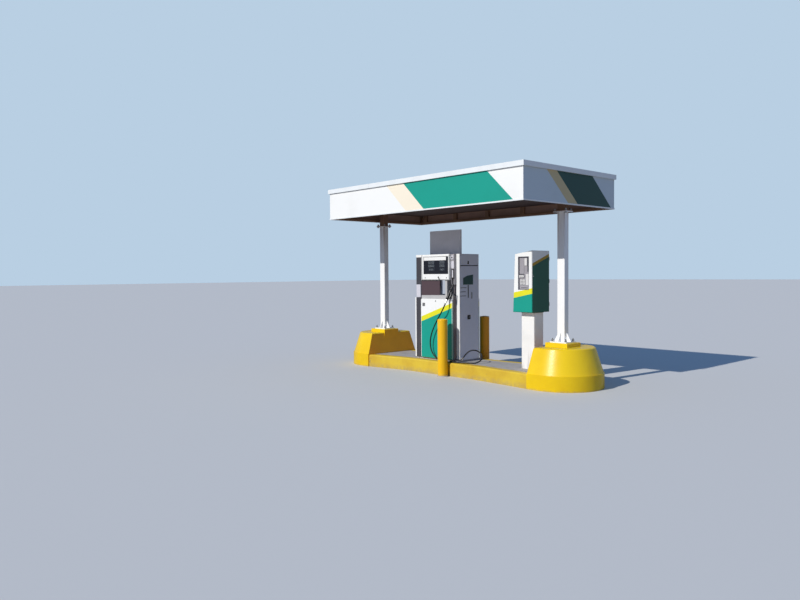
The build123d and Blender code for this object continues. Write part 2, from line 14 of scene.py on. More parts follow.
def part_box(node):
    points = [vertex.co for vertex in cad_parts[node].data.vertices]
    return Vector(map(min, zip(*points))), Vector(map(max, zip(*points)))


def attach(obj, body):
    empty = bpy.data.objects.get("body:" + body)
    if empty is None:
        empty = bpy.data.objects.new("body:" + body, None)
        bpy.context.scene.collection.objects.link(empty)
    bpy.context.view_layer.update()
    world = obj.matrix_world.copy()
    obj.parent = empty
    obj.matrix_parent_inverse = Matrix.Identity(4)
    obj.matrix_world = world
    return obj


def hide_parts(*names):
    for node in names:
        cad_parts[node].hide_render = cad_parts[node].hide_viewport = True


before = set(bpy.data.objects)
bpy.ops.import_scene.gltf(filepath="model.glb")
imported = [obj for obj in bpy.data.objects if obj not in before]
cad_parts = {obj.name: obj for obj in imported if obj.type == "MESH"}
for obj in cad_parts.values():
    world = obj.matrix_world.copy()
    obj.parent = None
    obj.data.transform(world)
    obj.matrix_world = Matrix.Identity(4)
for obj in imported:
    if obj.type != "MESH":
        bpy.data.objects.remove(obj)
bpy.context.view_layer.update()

# %% [markdown]
# A bolt or a label has to sit on what carries it. A solid stands on 0.3 mm of air, and its
# heights are that much more than round numbers. Taking it off gives the round heights from
# which most of the small pieces are measured.

# %% Reading a solid
AIR = 0.0003


def upright(name):
    """The least x, foot, greatest x and top of a solid, without the air round it."""
    low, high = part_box(name)
    return low.x, low.z - AIR, high.x, high.z - AIR


print("the head is", [round(edge, 3) for edge in upright("dispenser_head")])

# %% [markdown]
# Colours are written as the hex codes a paint chart gives, because those can be looked up
# and compared. Blender works in linear light, so one function turns a hex code into linear
# numbers, and every finish uses it.

# %% Paint codes


def paint(code):
    """A paint chart hex code as linear red, green, blue and alpha."""
    parts = [int(code[i : i + 2], 16) / 255 for i in (1, 3, 5)]
    return (*[p / 12.92 if p <= 0.04045 else ((p + 0.055) / 1.055) ** 2.4 for p in parts], 1.0)


print("white enamel in linear light", paint("#f3f4f4"))

# %% [markdown]
# A material is a small tree of nodes. This function adds one node, sets its values by
# name, joins its inputs to the outputs given, and hands back the node or one output of it.
# With it a finish reads as a short list.

# %% Nodes


def node(tree, kind, sets=None, links=None, out=None, **attributes):
    """Add one shader node, set its sockets and join its inputs."""
    made = tree.nodes.new(kind)
    for name, value in attributes.items():
        setattr(made, name, value)
    for name, value in (sets or {}).items():
        made.inputs[name].default_value = value
    for name, source in (links or {}).items():
        tree.links.new(source, made.inputs[name])
    return made.outputs[out] if out else made


print("node maker ready")

# %% [markdown]
# Most small pieces of a pump are folded sheet or moulded blocks. Each starts as the box
# that the create operator gives, scaled and put in its place straight away, so that the
# object itself stays at the origin.

# %% Boxes


def box(bm, x0, x1, y0, y1, z0, z1):
    """A box between two corners."""
    middle = Vector(((x0 + x1) / 2, (y0 + y1) / 2, (z0 + z1) / 2))
    size = Matrix.Diagonal((x1 - x0, abs(y1 - y0), z1 - z0, 1))
    return bmesh.ops.create_cube(bm, size=1, matrix=Matrix.Translation(middle) @ size)["verts"]


print("box maker ready")

# %% [markdown]
# Bolts, locks and ferrules are turned parts. The cone operator makes them all: equal radii
# give a bar, unequal ones a taper, and six sides a hexagon.

# %% Round bars


def rod(bm, start, end, radius, segments=16, end_radius=None):
    """A round bar between two points, or a cone where end_radius is given."""
    start, end = Vector(start), Vector(end)
    turn = (end - start).to_track_quat("Z", "Y").to_matrix().to_4x4()
    return bmesh.ops.create_cone(
        bm,
        cap_ends=True,
        segments=segments,
        radius1=radius,
        radius2=radius if end_radius is None else end_radius,
        depth=(end - start).length,
        matrix=Matrix.Translation((start + end) / 2) @ turn,
    )["verts"]


print("rod maker ready")

# %% [markdown]
# A plate of any outline is one face, pushed out by the extrude operator. That keeps its
# outline to the few corners it needs.

# %% Plates of any outline


def extruded(bm, faces, push):
    """Push faces out by a vector, close the solid and give back its vertices."""
    grown = bmesh.ops.extrude_face_region(bm, geom=faces)["geom"]
    moved = [g for g in grown if isinstance(g, bmesh.types.BMVert)]
    bmesh.ops.translate(bm, vec=push, verts=moved)
    verts = list({v for face in faces for v in face.verts} | set(moved))
    bmesh.ops.recalc_face_normals(bm, faces=list({f for v in verts for f in v.link_faces}))
    return verts


def plate(bm, corners, push):
    """A flat plate with this outline, as thick as the vector push."""
    return extruded(bm, [bm.faces.new([bm.verts.new(corner) for corner in corners])], push)


print("plate maker ready")

# %% [markdown]
# A frame that runs round something starts as a flat sheet. The inset operator makes its
# rim, the middle is taken away, and the rim is extruded upwards.

# %% Frames


def hoop(bm, x0, x1, y0, y1, width, z0, z1):
    """A rectangular frame seen from above, this wide inwards from its outline."""
    place = Matrix.Translation(((x0 + x1) / 2, (y0 + y1) / 2, z0))
    size = Matrix.Diagonal(((x1 - x0) / 2, (y1 - y0) / 2, 1, 1))
    sheet = bmesh.ops.create_grid(bm, x_segments=1, y_segments=1, size=1, matrix=place @ size)
    middle = sheet["verts"][0].link_faces[0]
    rim = bmesh.ops.inset_region(bm, faces=[middle], thickness=width, use_boundary=True)["faces"]
    bmesh.ops.delete(bm, geom=[middle], context="FACES_ONLY")
    return extruded(bm, rim, (0, 0, z1 - z0))


print("hoop maker ready")

# %% [markdown]
# Nothing made of sheet or plastic has a razor edge. A small bevel catches the light along
# each edge, which is most of what makes a small piece look real.

# %% Soft edges


def soften(bm, verts, width, segments=2):
    """Round the sharp edges between these vertices by width."""
    edges = {e for v in verts for e in v.link_edges if all(w in verts for w in e.verts)}
    sharp = [e for e in edges if len(e.link_faces) == 2 and e.calc_face_angle(0) > 0.6]
    bmesh.ops.bevel(
        bm,
        geom=sharp,
        offset=width,
        segments=segments,
        profile=0.5,
        affect="EDGES",
        material=-1,
    )


print("bevel ready")

# %% [markdown]
# A finished bmesh becomes an object with one material, and rides on the part's only body.
# That is the same for every piece, so it is one function.

# %% Finished pieces


def piece(name, bm, finish_of_it):
    """Turn a bmesh into an object that rides on the part's only body."""
    mesh = bpy.data.meshes.new(name)
    bm.to_mesh(mesh)
    bm.free()
    mesh.materials.append(finish_of_it)
    made = bpy.data.objects.new(name, mesh)
    bpy.context.scene.collection.objects.link(made)
    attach(made, "root")
    print(name, "faces", len(mesh.polygons))
    return made


print("piece maker ready")

# %% [markdown]
# The photograph was taken from in front of the right end. The camera's place, direction
# and focal length were fitted to the edges of the canopy and its columns, with its height
# taken as 1.75 m. Its own axes are right, up and backwards: the columns of its matrix.

# %% The camera
EYE = Vector((8.335, -9.079, 1.75))
YAW, PITCH, ROLL = -0.832, -0.037, -0.008
FOCAL_PIXELS, PICTURE_PIXELS, SENSOR_MM = 698.9, 800, 36

ahead = Vector((sin(YAW) * cos(PITCH), cos(YAW) * cos(PITCH), sin(PITCH)))
level = Vector((cos(YAW), -sin(YAW), 0))
upward = level.cross(ahead)
right = cos(ROLL) * level + sin(ROLL) * upward
up = -sin(ROLL) * level + cos(ROLL) * upward

camera_data = bpy.data.cameras.new("camera")
camera_data.sensor_width = SENSOR_MM
camera_data.lens = FOCAL_PIXELS / PICTURE_PIXELS * SENSOR_MM
camera_data.clip_end = 500
camera = bpy.data.objects.new("camera", camera_data)
camera.matrix_world = Matrix((right, up, -ahead)).transposed().to_4x4()
camera.matrix_world.translation = EYE
bpy.context.scene.collection.objects.link(camera)
bpy.context.scene.camera = camera
print("camera lens", round(camera_data.lens, 2), "mm at", tuple(EYE))

# %% [markdown]
# A fuel hose is thick rubber, so it never kinks: it leaves its elbow, rises in an arch,
# lies on the island and climbs to the nozzle. The elbow and the nozzle are solids, and
# these are the points where the hose meets them, with the directions they point in.

# %% Ends of the hose
HOSE_D = 0.022
LIFT = Vector((cos(radians(53.13)), 0, sin(radians(53.13))))
ELBOW = Vector((0.176, -0.215, 0.2623))
ELBOW_REACH = 0.0283
NOZZLE_LOW = Vector((0.0103, -0.4253, 1.2723))
NOZZLE_DIR = Vector((45, 150, 330)).normalized()
hose_exit = ELBOW + LIFT * ELBOW_REACH
print("hose leaves its elbow at", tuple(round(c, 4) for c in hose_exit))

# %% [markdown]
# A chain of cylinders would show its joints. One smooth NURBS curve near a few listed
# points bends as rubber does. At both ends a second point lies straight ahead, so
# the hose leaves in line.

# %% The hose's route
hose_points = [
    hose_exit,
    hose_exit + LIFT * 0.09,
    (0.336, -0.180, 0.439),
    (0.411, -0.084, 0.438),
    (0.504, -0.063, 0.368),
    (0.549, -0.128, 0.280),
    (0.512, -0.231, 0.2365),
    (0.425, -0.290, 0.2365),
    (0.280, -0.366, 0.2365),
    (0.080, -0.405, 0.2365),
    (-0.110, -0.405, 0.237),
    (-0.296, -0.408, 0.290),
    (-0.394, -0.412, 0.440),
    (-0.392, -0.416, 0.622),
    (-0.304, -0.422, 0.808),
    (-0.172, -0.436, 0.983),
    NOZZLE_LOW - NOZZLE_DIR * 0.128,
    NOZZLE_LOW - NOZZLE_DIR * 0.0003,
]
print("hose points", len(hose_points))

# %% [markdown]
# The order and the end points are set after the points are there, because a spline with
# too few points falls back to straight runs. The thickness is each point's radius, because
# Blender counts that radius in the curve's own box.

# %% The hose
hose_curve = bpy.data.curves.new("hose_line", "CURVE")
hose_curve.dimensions = "3D"
hose_curve.bevel_depth = 1.0
hose_curve.bevel_resolution = 4
hose_curve.resolution_u = 8
hose_curve.use_fill_caps = True
spline = hose_curve.splines.new("NURBS")
spline.points.add(len(hose_points) - 1)
for point, place in zip(spline.points, hose_points):
    point.co = (*place, 1)
    point.radius = HOSE_D / 2
spline.order_u = 3
spline.use_endpoint_u = True
hose = bpy.data.objects.new("fuel_hose", hose_curve)
bpy.context.scene.collection.objects.link(hose)
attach(hose, "root")
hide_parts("hose")
print("hose made")

# %% [markdown]
# The floor is pale to the camera, so the part stands out, but it sends back only as much
# light as pavement does: the Light Path node tells camera rays from bounced ones. It is
# one large grid, so its edge lies beyond the horizon.

# %% Floor
FLOOR_HALF = 150
floor_bm = bmesh.new()
bmesh.ops.create_grid(floor_bm, x_segments=1, y_segments=1, size=FLOOR_HALF)
floor_mesh = bpy.data.meshes.new("floor")
floor_bm.to_mesh(floor_mesh)
floor_bm.free()
floor = bpy.data.objects.new("floor", floor_mesh)
bpy.context.scene.collection.objects.link(floor)
floor_paint = bpy.data.materials.new("floor_paint")
floor_paint.use_nodes = True
tree = floor_paint.node_tree
tree.nodes.clear()
seen = node(tree, "ShaderNodeLightPath", out="Is Camera Ray")
shades = {"A": paint("#9f9a95"), "B": paint("#c9c9c7")}
tone = node(tree, "ShaderNodeMix", shades, {"Factor": seen}, "Result", data_type="RGBA")
matt = node(tree, "ShaderNodeBsdfDiffuse", links={"Color": tone}, out="BSDF")
node(tree, "ShaderNodeOutputMaterial", links={"Surface": matt})
floor_mesh.materials.append(floor_paint)
print("floor", 2 * FLOOR_HALF, "m wide")

# %% [markdown]
# A surface in the shade gets its light from the sky and from what stands round about. Low
# down that is pale and bright, and higher up it is a deeper blue. So the sky's light turns
# from one to the other between 5 and 25 degrees, while the camera sees one plain pale blue.

# %% Sky
LOW_SKY, HIGH_SKY = (0.33, 0.34, 0.38, 1), (0.11, 0.22, 0.44, 1)
world = bpy.data.worlds.new("sky")
bpy.context.scene.world = world
world.use_nodes = True
tree = world.node_tree
tree.nodes.clear()
way = node(tree, "ShaderNodeTexCoord", out="Generated")
height = node(tree, "ShaderNodeSeparateXYZ", links={"Vector": way}, out="Z")
limits = {"From Min": 0.08, "From Max": 0.42}
risen = node(tree, "ShaderNodeMapRange", limits, {"Value": height}, "Result")
shades = {"A": LOW_SKY, "B": HIGH_SKY}
lit = node(tree, "ShaderNodeMix", shades, {"Factor": risen}, "Result", data_type="RGBA")
seen = node(tree, "ShaderNodeLightPath", out="Is Camera Ray")
shades = {"B": paint("#b9cfe3")}
tone = node(tree, "ShaderNodeMix", shades, {"Factor": seen, "A": lit}, "Result", data_type="RGBA")
glow = node(tree, "ShaderNodeBackground", links={"Color": tone}, out="Background")
node(tree, "ShaderNodeOutputWorld", links={"Surface": glow})
print("sky nodes", len(tree.nodes))

# %% [markdown]
# The sun stands in front and a little to the left. Its height comes from the shadow of
# the canopy's edge on the columns, about 0.75 m below that edge. Its strength is set so
# that white enamel comes out just below white.

# %% Sun
SUN_WAY = Vector((0.10, 0.985, -0.70))
sun_data = bpy.data.lights.new("sun", "SUN")
sun_data.energy = 3.5
sun_data.angle = radians(0.6)
sun_data.color = paint("#fffaf3")[:3]
sun = bpy.data.objects.new("sun", sun_data)
sun.rotation_euler = SUN_WAY.to_track_quat("-Z", "Y").to_euler()
bpy.context.scene.collection.objects.link(sun)
bpy.context.scene.view_settings.view_transform = "Standard"
print("sun strength", sun_data.energy)

# %% [markdown]
# Real paint is never one flat colour. A picture of paint could be used, but it would have
# to be unwrapped onto each piece. So this tool lays a second colour over the first where a
# noise is high. The noise's scale is worked out from the real width of a patch.

# %% Cloudy patches


def patches_over(tree, place, base, second, wide, low, high, detail=4.0, only=None):
    """Show a second colour in patches this many millimetres wide, perhaps only in places."""
    values = {"Scale": 1000 / wide, "Detail": detail, "Roughness": 0.6}
    noise = node(tree, "ShaderNodeTexNoise", values, {"Vector": place}, "Fac")
    limits = {"From Min": low, "From Max": high}
    mask = node(tree, "ShaderNodeMapRange", limits, {"Value": noise}, "Result")
    if only:
        links = {0: mask, 1: only}
        mask = node(tree, "ShaderNodeMath", links=links, out="Value", operation="MULTIPLY")
    values, links = {"B": second}, {"Factor": mask}
    (values if isinstance(base, tuple) else links)["A"] = base
    return node(tree, "ShaderNodeMix", values, links, "Result", data_type="RGBA")


print("patches ready")

# %% [markdown]
# Dust gathers at the foot of things, and rust runs down from a joint. Both depend on the
# height above the ground. Streaks are the same noise, but its place is squeezed sideways
# and drawn out downwards, so each is about 45 mm wide and 900 mm long.

# %% Heights and streaks
RUST, DIRT = "#8a5a35", "#7d7468"
STREAKS_PER_M = 22.0


def between_heights(tree, place, start, full):
    """A mask that grows from 0 to 1 from one height to another."""
    height = node(tree, "ShaderNodeSeparateXYZ", links={"Vector": place}, out="Z")
    limits = {"From Min": start, "From Max": full}
    return node(tree, "ShaderNodeMapRange", limits, {"Value": height}, "Result")


def streaks_over(tree, place, base, code, start, full):
    """Streaks of a colour that run downwards between two heights."""
    squeeze = {1: (STREAKS_PER_M, STREAKS_PER_M, STREAKS_PER_M / 20)}
    narrow = node(tree, "ShaderNodeVectorMath", squeeze, {0: place}, "Vector", operation="MULTIPLY")
    zone = between_heights(tree, place, start, full)
    return patches_over(tree, narrow, base, paint(code), 1000, 0.48, 0.72, 3.0, only=zone)


print("streaks", round(1000 / STREAKS_PER_M), "mm wide")

# %% [markdown]
# Every finish reads its place from Object coordinates, which are real metres here, because
# every object sits at the origin. So a patch keeps its size from piece to piece. All
# finishes end in the same way: a shine, perhaps a fine relief, and the output.

# %% Start and end of a material


def new_material(name):
    """An empty material, its node tree and its Object coordinates."""
    made = bpy.data.materials.new(name)
    made.use_nodes = True
    made.node_tree.nodes.clear()
    return made, made.node_tree, node(made.node_tree, "ShaderNodeTexCoord", out="Object")


def close_surface(tree, place, colour, rough, metal=0.0, relief=0.0, grain=2.5):
    """Shine, an optional relief with grains this many millimetres wide, and the output."""
    shine = {"Roughness": rough, "Metallic": metal}
    surface = node(tree, "ShaderNodeBsdfPrincipled", shine, {"Base Color": colour})
    if relief:
        values = {"Scale": 1000 / grain, "Detail": 3.0, "Roughness": 0.6}
        noise = node(tree, "ShaderNodeTexNoise", values, {"Vector": place}, "Fac")
        values = {"Strength": 0.5, "Distance": relief}
        bumps = node(tree, "ShaderNodeBump", values, {"Height": noise}, "Normal")
        tree.links.new(bumps, surface.inputs["Normal"])
    node(tree, "ShaderNodeOutputMaterial", links={"Surface": surface.outputs["BSDF"]})


print("material ends ready")

# %% [markdown]
# Most of the paints, plastics and metals here differ only in colour, shine and wear. One
# function makes them: a colour, slightly darker clouds in it, worn patches, streaks.

# %% The common finish
WORN_WIDE = 140


def finish(
    name,
    code,
    rough,
    metal=0.0,
    vary=0.03,
    patch=330,
    relief=0.0,
    grain=2.5,
    worn=None,
    streaks=None,
):
    """A paint, plastic or metal with slight unevenness. Streaks are (code, start, full)."""
    made, tree, place = new_material(name)
    darker = tuple(c * (1 - 4 * vary) for c in paint(code)[:3]) + (1,)
    colour = patches_over(tree, place, paint(code), darker, patch, 0.45, 0.75)
    if worn:
        colour = patches_over(tree, place, colour, paint(worn), WORN_WIDE, 0.66, 0.71, 8.0)
    if streaks:
        colour = streaks_over(tree, place, colour, *streaks)
    close_surface(tree, place, colour, rough, metal, relief, grain)
    return made


print("common finish ready")

# %% [markdown]
# White alkyd enamel, brushed on the columns and sprayed on the post. A brushed coat gives
# the eye a soft sheen with faint clouds, so its roughness is in the middle of the range.
# Rust runs down the columns from the joint at their head, and dirt gathers at the post's foot.

# %% Alkyd enamel
column_enamel = finish("column_enamel", "#f3f4f4", 0.4, vary=0.012, streaks=(RUST, 2.1, 2.9))
post_enamel = finish("post_enamel", "#eeeeec", 0.4, vary=0.02, streaks=(DIRT, 0.55, 0.2))
print("enamels", column_enamel.name, post_enamel.name)

# %% [markdown]
# White powder coat on folded aluminium is smoother and cooler, as on the cap. The cabinet
# has the same coat in a brighter gloss, so its edges draw thin highlights. The rim under
# the head has it in a duller grey.

# %% White powder coats
cap_powder_coat = finish("cap_powder_coat", "#e9eef0", 0.38, vary=0.02)
cabinet_powder_coat = finish("cabinet_powder_coat", "#f0f2f2", 0.3, vary=0.015)
rim_powder_coat = finish("rim_powder_coat", "#b9b9ba", 0.45)
print("powder coats", cap_powder_coat.name, cabinet_powder_coat.name, rim_powder_coat.name)

# %% [markdown]
# The inner side of the canopy is brown primer, matt and patchy. The hot rolled frame has
# the same primer, and rust breaks through it in patches of about 140 mm.

# %% Primers
inner_primer = finish("inner_primer", "#ab8979", 0.65, vary=0.05)
frame_primer = finish("frame_primer", "#8f6c54", 0.7, vary=0.06, worn=RUST)
print("primers", inner_primer.name, frame_primer.name)

# %% [markdown]
# Grey powder coats close the dispenser's sides. The pale one is nearly matt, so it takes on
# the blue of the sky. The dark one has gloss, so it mirrors the bright ground, and road
# dust lightens its lower half. The neck's sheets are a dull mauve brown enamel.

# %% Grey coats of the dispenser
side_powder_coat = finish("side_powder_coat", "#d6d9e6", 0.45, vary=0.015)
dark_powder_coat = finish("dark_powder_coat", "#44444a", 0.28, vary=0.04, streaks=(DIRT, 1.1, 0.2))
recess_enamel = finish("recess_enamel", "#625c60", 0.5, vary=0.04, streaks=("#7d706a", 1.2, 0.3))
neck_enamel = finish("neck_enamel", "#4c3b42", 0.6)
print("greys", side_powder_coat.name, dark_powder_coat.name, recess_enamel.name, neck_enamel.name)

# %% [markdown]
# Galvanised roofing is dull zinc with water marks. Stainless steel is brushed and bright,
# and zinc plated bolts are greyer, with a mottle of 15 mm. Metals keep the default IOR,
# because their colour alone says how they mirror.

# %% Bare metals
galvanised_sheet = finish("galvanised_sheet", "#b4b8bb", 0.5, metal=0.9, streaks=(DIRT, 3.0, 3.2))
stainless_steel = finish("stainless_steel", "#bcbdc0", 0.3, metal=1.0)
zinc_plated_steel = finish("zinc_plated_steel", "#a2a3a3", 0.45, metal=0.9, vary=0.05, patch=15)
print("metals", galvanised_sheet.name, stainless_steel.name, zinc_plated_steel.name)

# %% [markdown]
# The slab is trowelled concrete: rough, with dark and light patches a hand wide. Its sand
# has a grain of about 2 mm, too fine to show from here, so it is drawn 7 mm wide.

# %% Concrete
concrete = finish("trowelled_concrete", "#a9a6a3", 0.9, vary=0.05, patch=200, relief=0.002, grain=7)
print("concrete", concrete.name)

# %% [markdown]
# Moulded ABS has a fine grain, about 0.3 mm wide, that softens its highlight. It is drawn
# 1.1 mm wide, so that it shows from close by. It is grey on housings, pale on small modules
# and black on handles. Milky lenses and labels are smoother, with no grain. The base frame
# of the dispenser is folded steel, with a textured grey powder coat that looks the same.

# %% Moulded ABS and its like
GREY, ABS_RELIEF, ABS_GRAIN = "#a09ea4", 0.0002, 1.1
grey_abs = finish("grey_abs", GREY, 0.5, relief=ABS_RELIEF, grain=ABS_GRAIN)
base_powder_coat = finish("base_powder_coat", GREY, 0.5, relief=ABS_RELIEF, grain=ABS_GRAIN)
pale_abs = finish("pale_abs", "#dcdcdb", 0.4, vary=0.02)
lens_abs = finish("lens_abs", "#cfcfd8", 0.35, vary=0.02)
black_abs = finish(
    "black_abs",
    "#161618",
    0.42,
    vary=0.04,
    relief=ABS_RELIEF,
    grain=ABS_GRAIN,
)
print("plastics", grey_abs.name, pale_abs.name, lens_abs.name, black_abs.name)

# %% [markdown]
# Nitrile rubber, of the hose and the gaskets, is extruded and a dull black. The window over
# the figures is smoked acrylic, a near black that mirrors sharply. The figures are a liquid
# crystal's pale bars on a slightly lighter field.

# %% Rubber and displays
nitrile_rubber = finish("nitrile_rubber", "#121212", 0.55, vary=0.05)
smoked_acrylic = finish("smoked_acrylic", "#131722", 0.12, vary=0.02)
crystal_field = finish("crystal_field", "#262c36", 0.25, vary=0.02)
crystal_bars = finish("crystal_bars", "#8d959a", 0.4, vary=0.0)
hose_curve.materials.append(nitrile_rubber)
print("hose in", nitrile_rubber.name)

# %% [markdown]
# The board is a white laminate, a little cloudy with dust, and it looks grey in the
# canopy's shade. The plate on the side is dark green vinyl, cut from a roll, with the even
# low shine that such film has.

# %% Laminate and vinyl
board_laminate = finish("board_laminate", "#f0f0f6", 0.6, vary=0.03)
green_vinyl = finish("green_vinyl", "#0b4742", 0.4, vary=0.02)
print("finishes so far", len(bpy.data.materials))

# %% [markdown]
# The plinths and kerbs are concrete under thick yellow road paint. It is fairly glossy, so
# a pale highlight runs down the round nose. It has two tones in clouds 450 mm wide, has
# chipped off in patches of about 110 mm, and is dull with dust at its foot. The sand under
# it has a grain of some 2 mm, drawn 18 mm wide, because a finer one wouldn't show.

# %% Road paint
BARE, DUST = "#8f8464", "#a89668"


def road_paint(name, code, second, rough, relief, chips, dust):
    """Chipped and dusty yellow paint. Dust is (height where it starts, height where it is full)."""
    made, tree, place = new_material(name)
    colour = patches_over(tree, place, paint(code), paint(second), 450, 0.4, 0.75, 6.0)
    colour = patches_over(tree, place, colour, paint(BARE), 110, chips, chips + 0.04, 9.0)
    low = between_heights(tree, place, *dust)
    colour = patches_over(tree, place, colour, paint(DUST), 70, 0.3, 0.6, only=low)
    close_surface(tree, place, colour, rough, relief=relief, grain=18)
    return made


plinth_yellow = road_paint("plinth_road_paint", "#edca12", "#e2b90c", 0.27, 0.002, 0.72, (0.035, -0.02))
kerb_yellow = road_paint("kerb_road_paint", "#dabc36", "#c6a02c", 0.5, 0.004, 0.67, (0.10, -0.03))
print("road paints", plinth_yellow.name, kerb_yellow.name)

# %% [markdown]
# The bollards are steel tubes under the same yellow in a smoother coat. The back one and
# the faces of the plinths towards the island stand in the shade, and the photograph shows
# them orange brown. Blue light from the sky would turn the same yellow olive there. So they
# get a deeper yellow of their own: painted shade, a choice made for the picture that
# nothing else proves.

# %% Bollard paint and the deeper yellow of painted shade
bollard_yellow = road_paint("bollard_road_paint", "#f7c30a", "#edb408", 0.4, 0.0005, 0.74, (0.06, 0.0))
# Painted shade: deeper yellows for the plinths' inner faces and the back bollard.
plinth_painted_shade_yellow = road_paint("plinth_painted_shade_road_paint", "#fbb108", "#f2a506", 0.45, 0.002, 0.74, (0.035, -0.02))
back_bollard_painted_shade_yellow = road_paint("back_bollard_painted_shade_paint", "#ea9f08", "#de9206", 0.45, 0.0005, 0.74, (0.06, 0.0))
print("bollard paints", bollard_yellow.name, plinth_painted_shade_yellow.name, back_bollard_painted_shade_yellow.name)

# %% [markdown]
# The soffit is a row of narrow metal trays in brown enamel, pressed and clipped up side by
# side. Their brown is made far darker than the enamel: painted shade for the underside of
# the canopy. The fraction of X over the width of a tray makes the dark joints between them
# without any geometry.

# %% Soffit
TRAY = 0.2
soffit_trays_painted_shade, tree, place = new_material("soffit_trays_painted_shade")
across = node(tree, "ShaderNodeSeparateXYZ", links={"Vector": place}, out="X")
count = node(tree, "ShaderNodeMath", {1: TRAY}, {0: across}, "Value", operation="DIVIDE")
within = node(tree, "ShaderNodeMath", links={0: count}, out="Value", operation="FRACT")
limits = {"From Min": 0.04, "From Max": 0.03}
joint = node(tree, "ShaderNodeMapRange", limits, {"Value": within}, "Result")
# Painted shade: both browns are far darker than the enamel itself.
base = patches_over(tree, place, paint("#4d332b"), paint("#3d2822"), 670, 0.4, 0.7)
links = {"A": base, "Factor": joint}
colour = node(tree, "ShaderNodeMix", {"B": paint("#1c1210")}, links, "Result", data_type="RGBA")
close_surface(tree, place, colour, 0.7)
print("soffit nodes", len(tree.nodes))

# %% [markdown]
# Printed vinyl covers the sheets with slanted bands in green, cream and yellow. The slope
# mixes one coordinate along the sheet with the height, and a ramp with hard steps turns
# that number into the colour. Sun has faded the film in clouds half a metre wide.

# %% Bands of vinyl
VINYL_ROUGH = 0.45


def livery(name, along, slope, bands):
    """Bands across a sheet: along is X or Y, and bands are (start, code)."""
    made, tree, place = new_material(name)
    parts = node(tree, "ShaderNodeSeparateXYZ", links={"Vector": place}).outputs
    links = {0: parts[along], 2: parts["Z"]}
    tilt = node(tree, "ShaderNodeMath", {1: slope}, links, "Value", operation="MULTIPLY_ADD")
    low, high = bands[0][0], bands[-1][0] + 1.0
    limits = {"From Min": low, "From Max": high}
    step = node(tree, "ShaderNodeMapRange", limits, {"Value": tilt}, "Result")
    ramp = node(tree, "ShaderNodeValToRGB", links={"Fac": step})
    ramp.color_ramp.interpolation = "CONSTANT"
    stops = ramp.color_ramp.elements
    while len(stops) < len(bands):
        stops.new(0.5)
    for stop, (start, code) in zip(stops, bands):
        stop.position = (start - low) / (high - low)
        stop.color = paint(code)
    faded = patches_over(tree, place, (1, 1, 1, 1), (0.94, 0.94, 0.93, 1), 500, 0.5, 0.8)
    links = {"A": ramp.outputs["Color"], "B": faded}
    kind = {"data_type": "RGBA", "blend_type": "MULTIPLY"}
    colour = node(tree, "ShaderNodeMix", {"Factor": 1.0}, links, "Result", **kind)
    close_surface(tree, place, colour, VINYL_ROUGH)
    return made


print("livery maker ready")

# %% [markdown]
# Nothing is written on the bands. The start of each is its height above the ground where
# it would cross the middle of the canopy, X = 0, so it can be read off with a ruler. The
# first band starts far below, so it covers what comes before the second.

# %% Livery of the canopy
WHITE, CREAM, GREEN, YELLOW = "#f0f2f1", "#f3ead6", "#009a88", "#e3e022"
BELOW = -9
long_bands = [(BELOW, WHITE), (2.611, CREAM), (2.981, GREEN), (4.744, WHITE)]
fascia_long = livery("fascia_vinyl_long", "X", 1 / 1.05, long_bands)
print("long fascias", fascia_long.name)

# %% [markdown]
# The short sides stand in the shade. The photograph shows them duller than the shade alone
# would make them, so they get duller colours of their own: painted shade, a choice made for
# the picture. The bands there run along Y, and their starts are heights at Y = 0.

# %% Livery of the short sides, in painted shade
# Painted shade: darker copies of the white, cream and green of the long sides.
SHADE_PAINTED_WHITE, SHADE_PAINTED_CREAM, SHADE_PAINTED_GREEN = "#c6d5de", "#c8b98f", "#004a45"
shaded_short_bands = [
    (BELOW, SHADE_PAINTED_WHITE),
    (2.669, SHADE_PAINTED_CREAM),
    (2.915, SHADE_PAINTED_GREEN),
    (3.686, SHADE_PAINTED_WHITE),
]
fascia_short_painted_shade = livery("fascia_vinyl_short_painted_shade", "Y", 1 / 1.18, shaded_short_bands)
print("short fascias", fascia_short_painted_shade.name)

# %% [markdown]
# The dispenser's panels and the terminal are green below and white above, with a yellow
# band between them. The starts are again heights at X = 0 or Y = 0. The terminal's side
# stands in the shade, and its darker colours, matched to the photograph, are painted shade.

# %% Livery of the machines
panel_livery = livery("panel_vinyl", "X", -0.345, [(BELOW, GREEN), (1.105, YELLOW), (1.185, WHITE)])
front_bands = [(BELOW, GREEN), (1.082, YELLOW), (1.138, WHITE)]
terminal_front = livery("terminal_vinyl_front", "X", -0.2, front_bands)
# Painted shade: darker green and yellow for the side in the shade.
shaded_side_bands = [(BELOW, "#005a48"), (1.900, "#b08e1c"), (1.958, WHITE)]
terminal_side_painted_shade = livery("terminal_vinyl_side_painted_shade", "Y", -0.36, shaded_side_bands)
print("machine vinyls", panel_livery.name, terminal_front.name, terminal_side_painted_shade.name)

# %% [markdown]
# Each solid whose shape is already right only needs its finish. The table reads like a
# painter's schedule: what gets which coat.

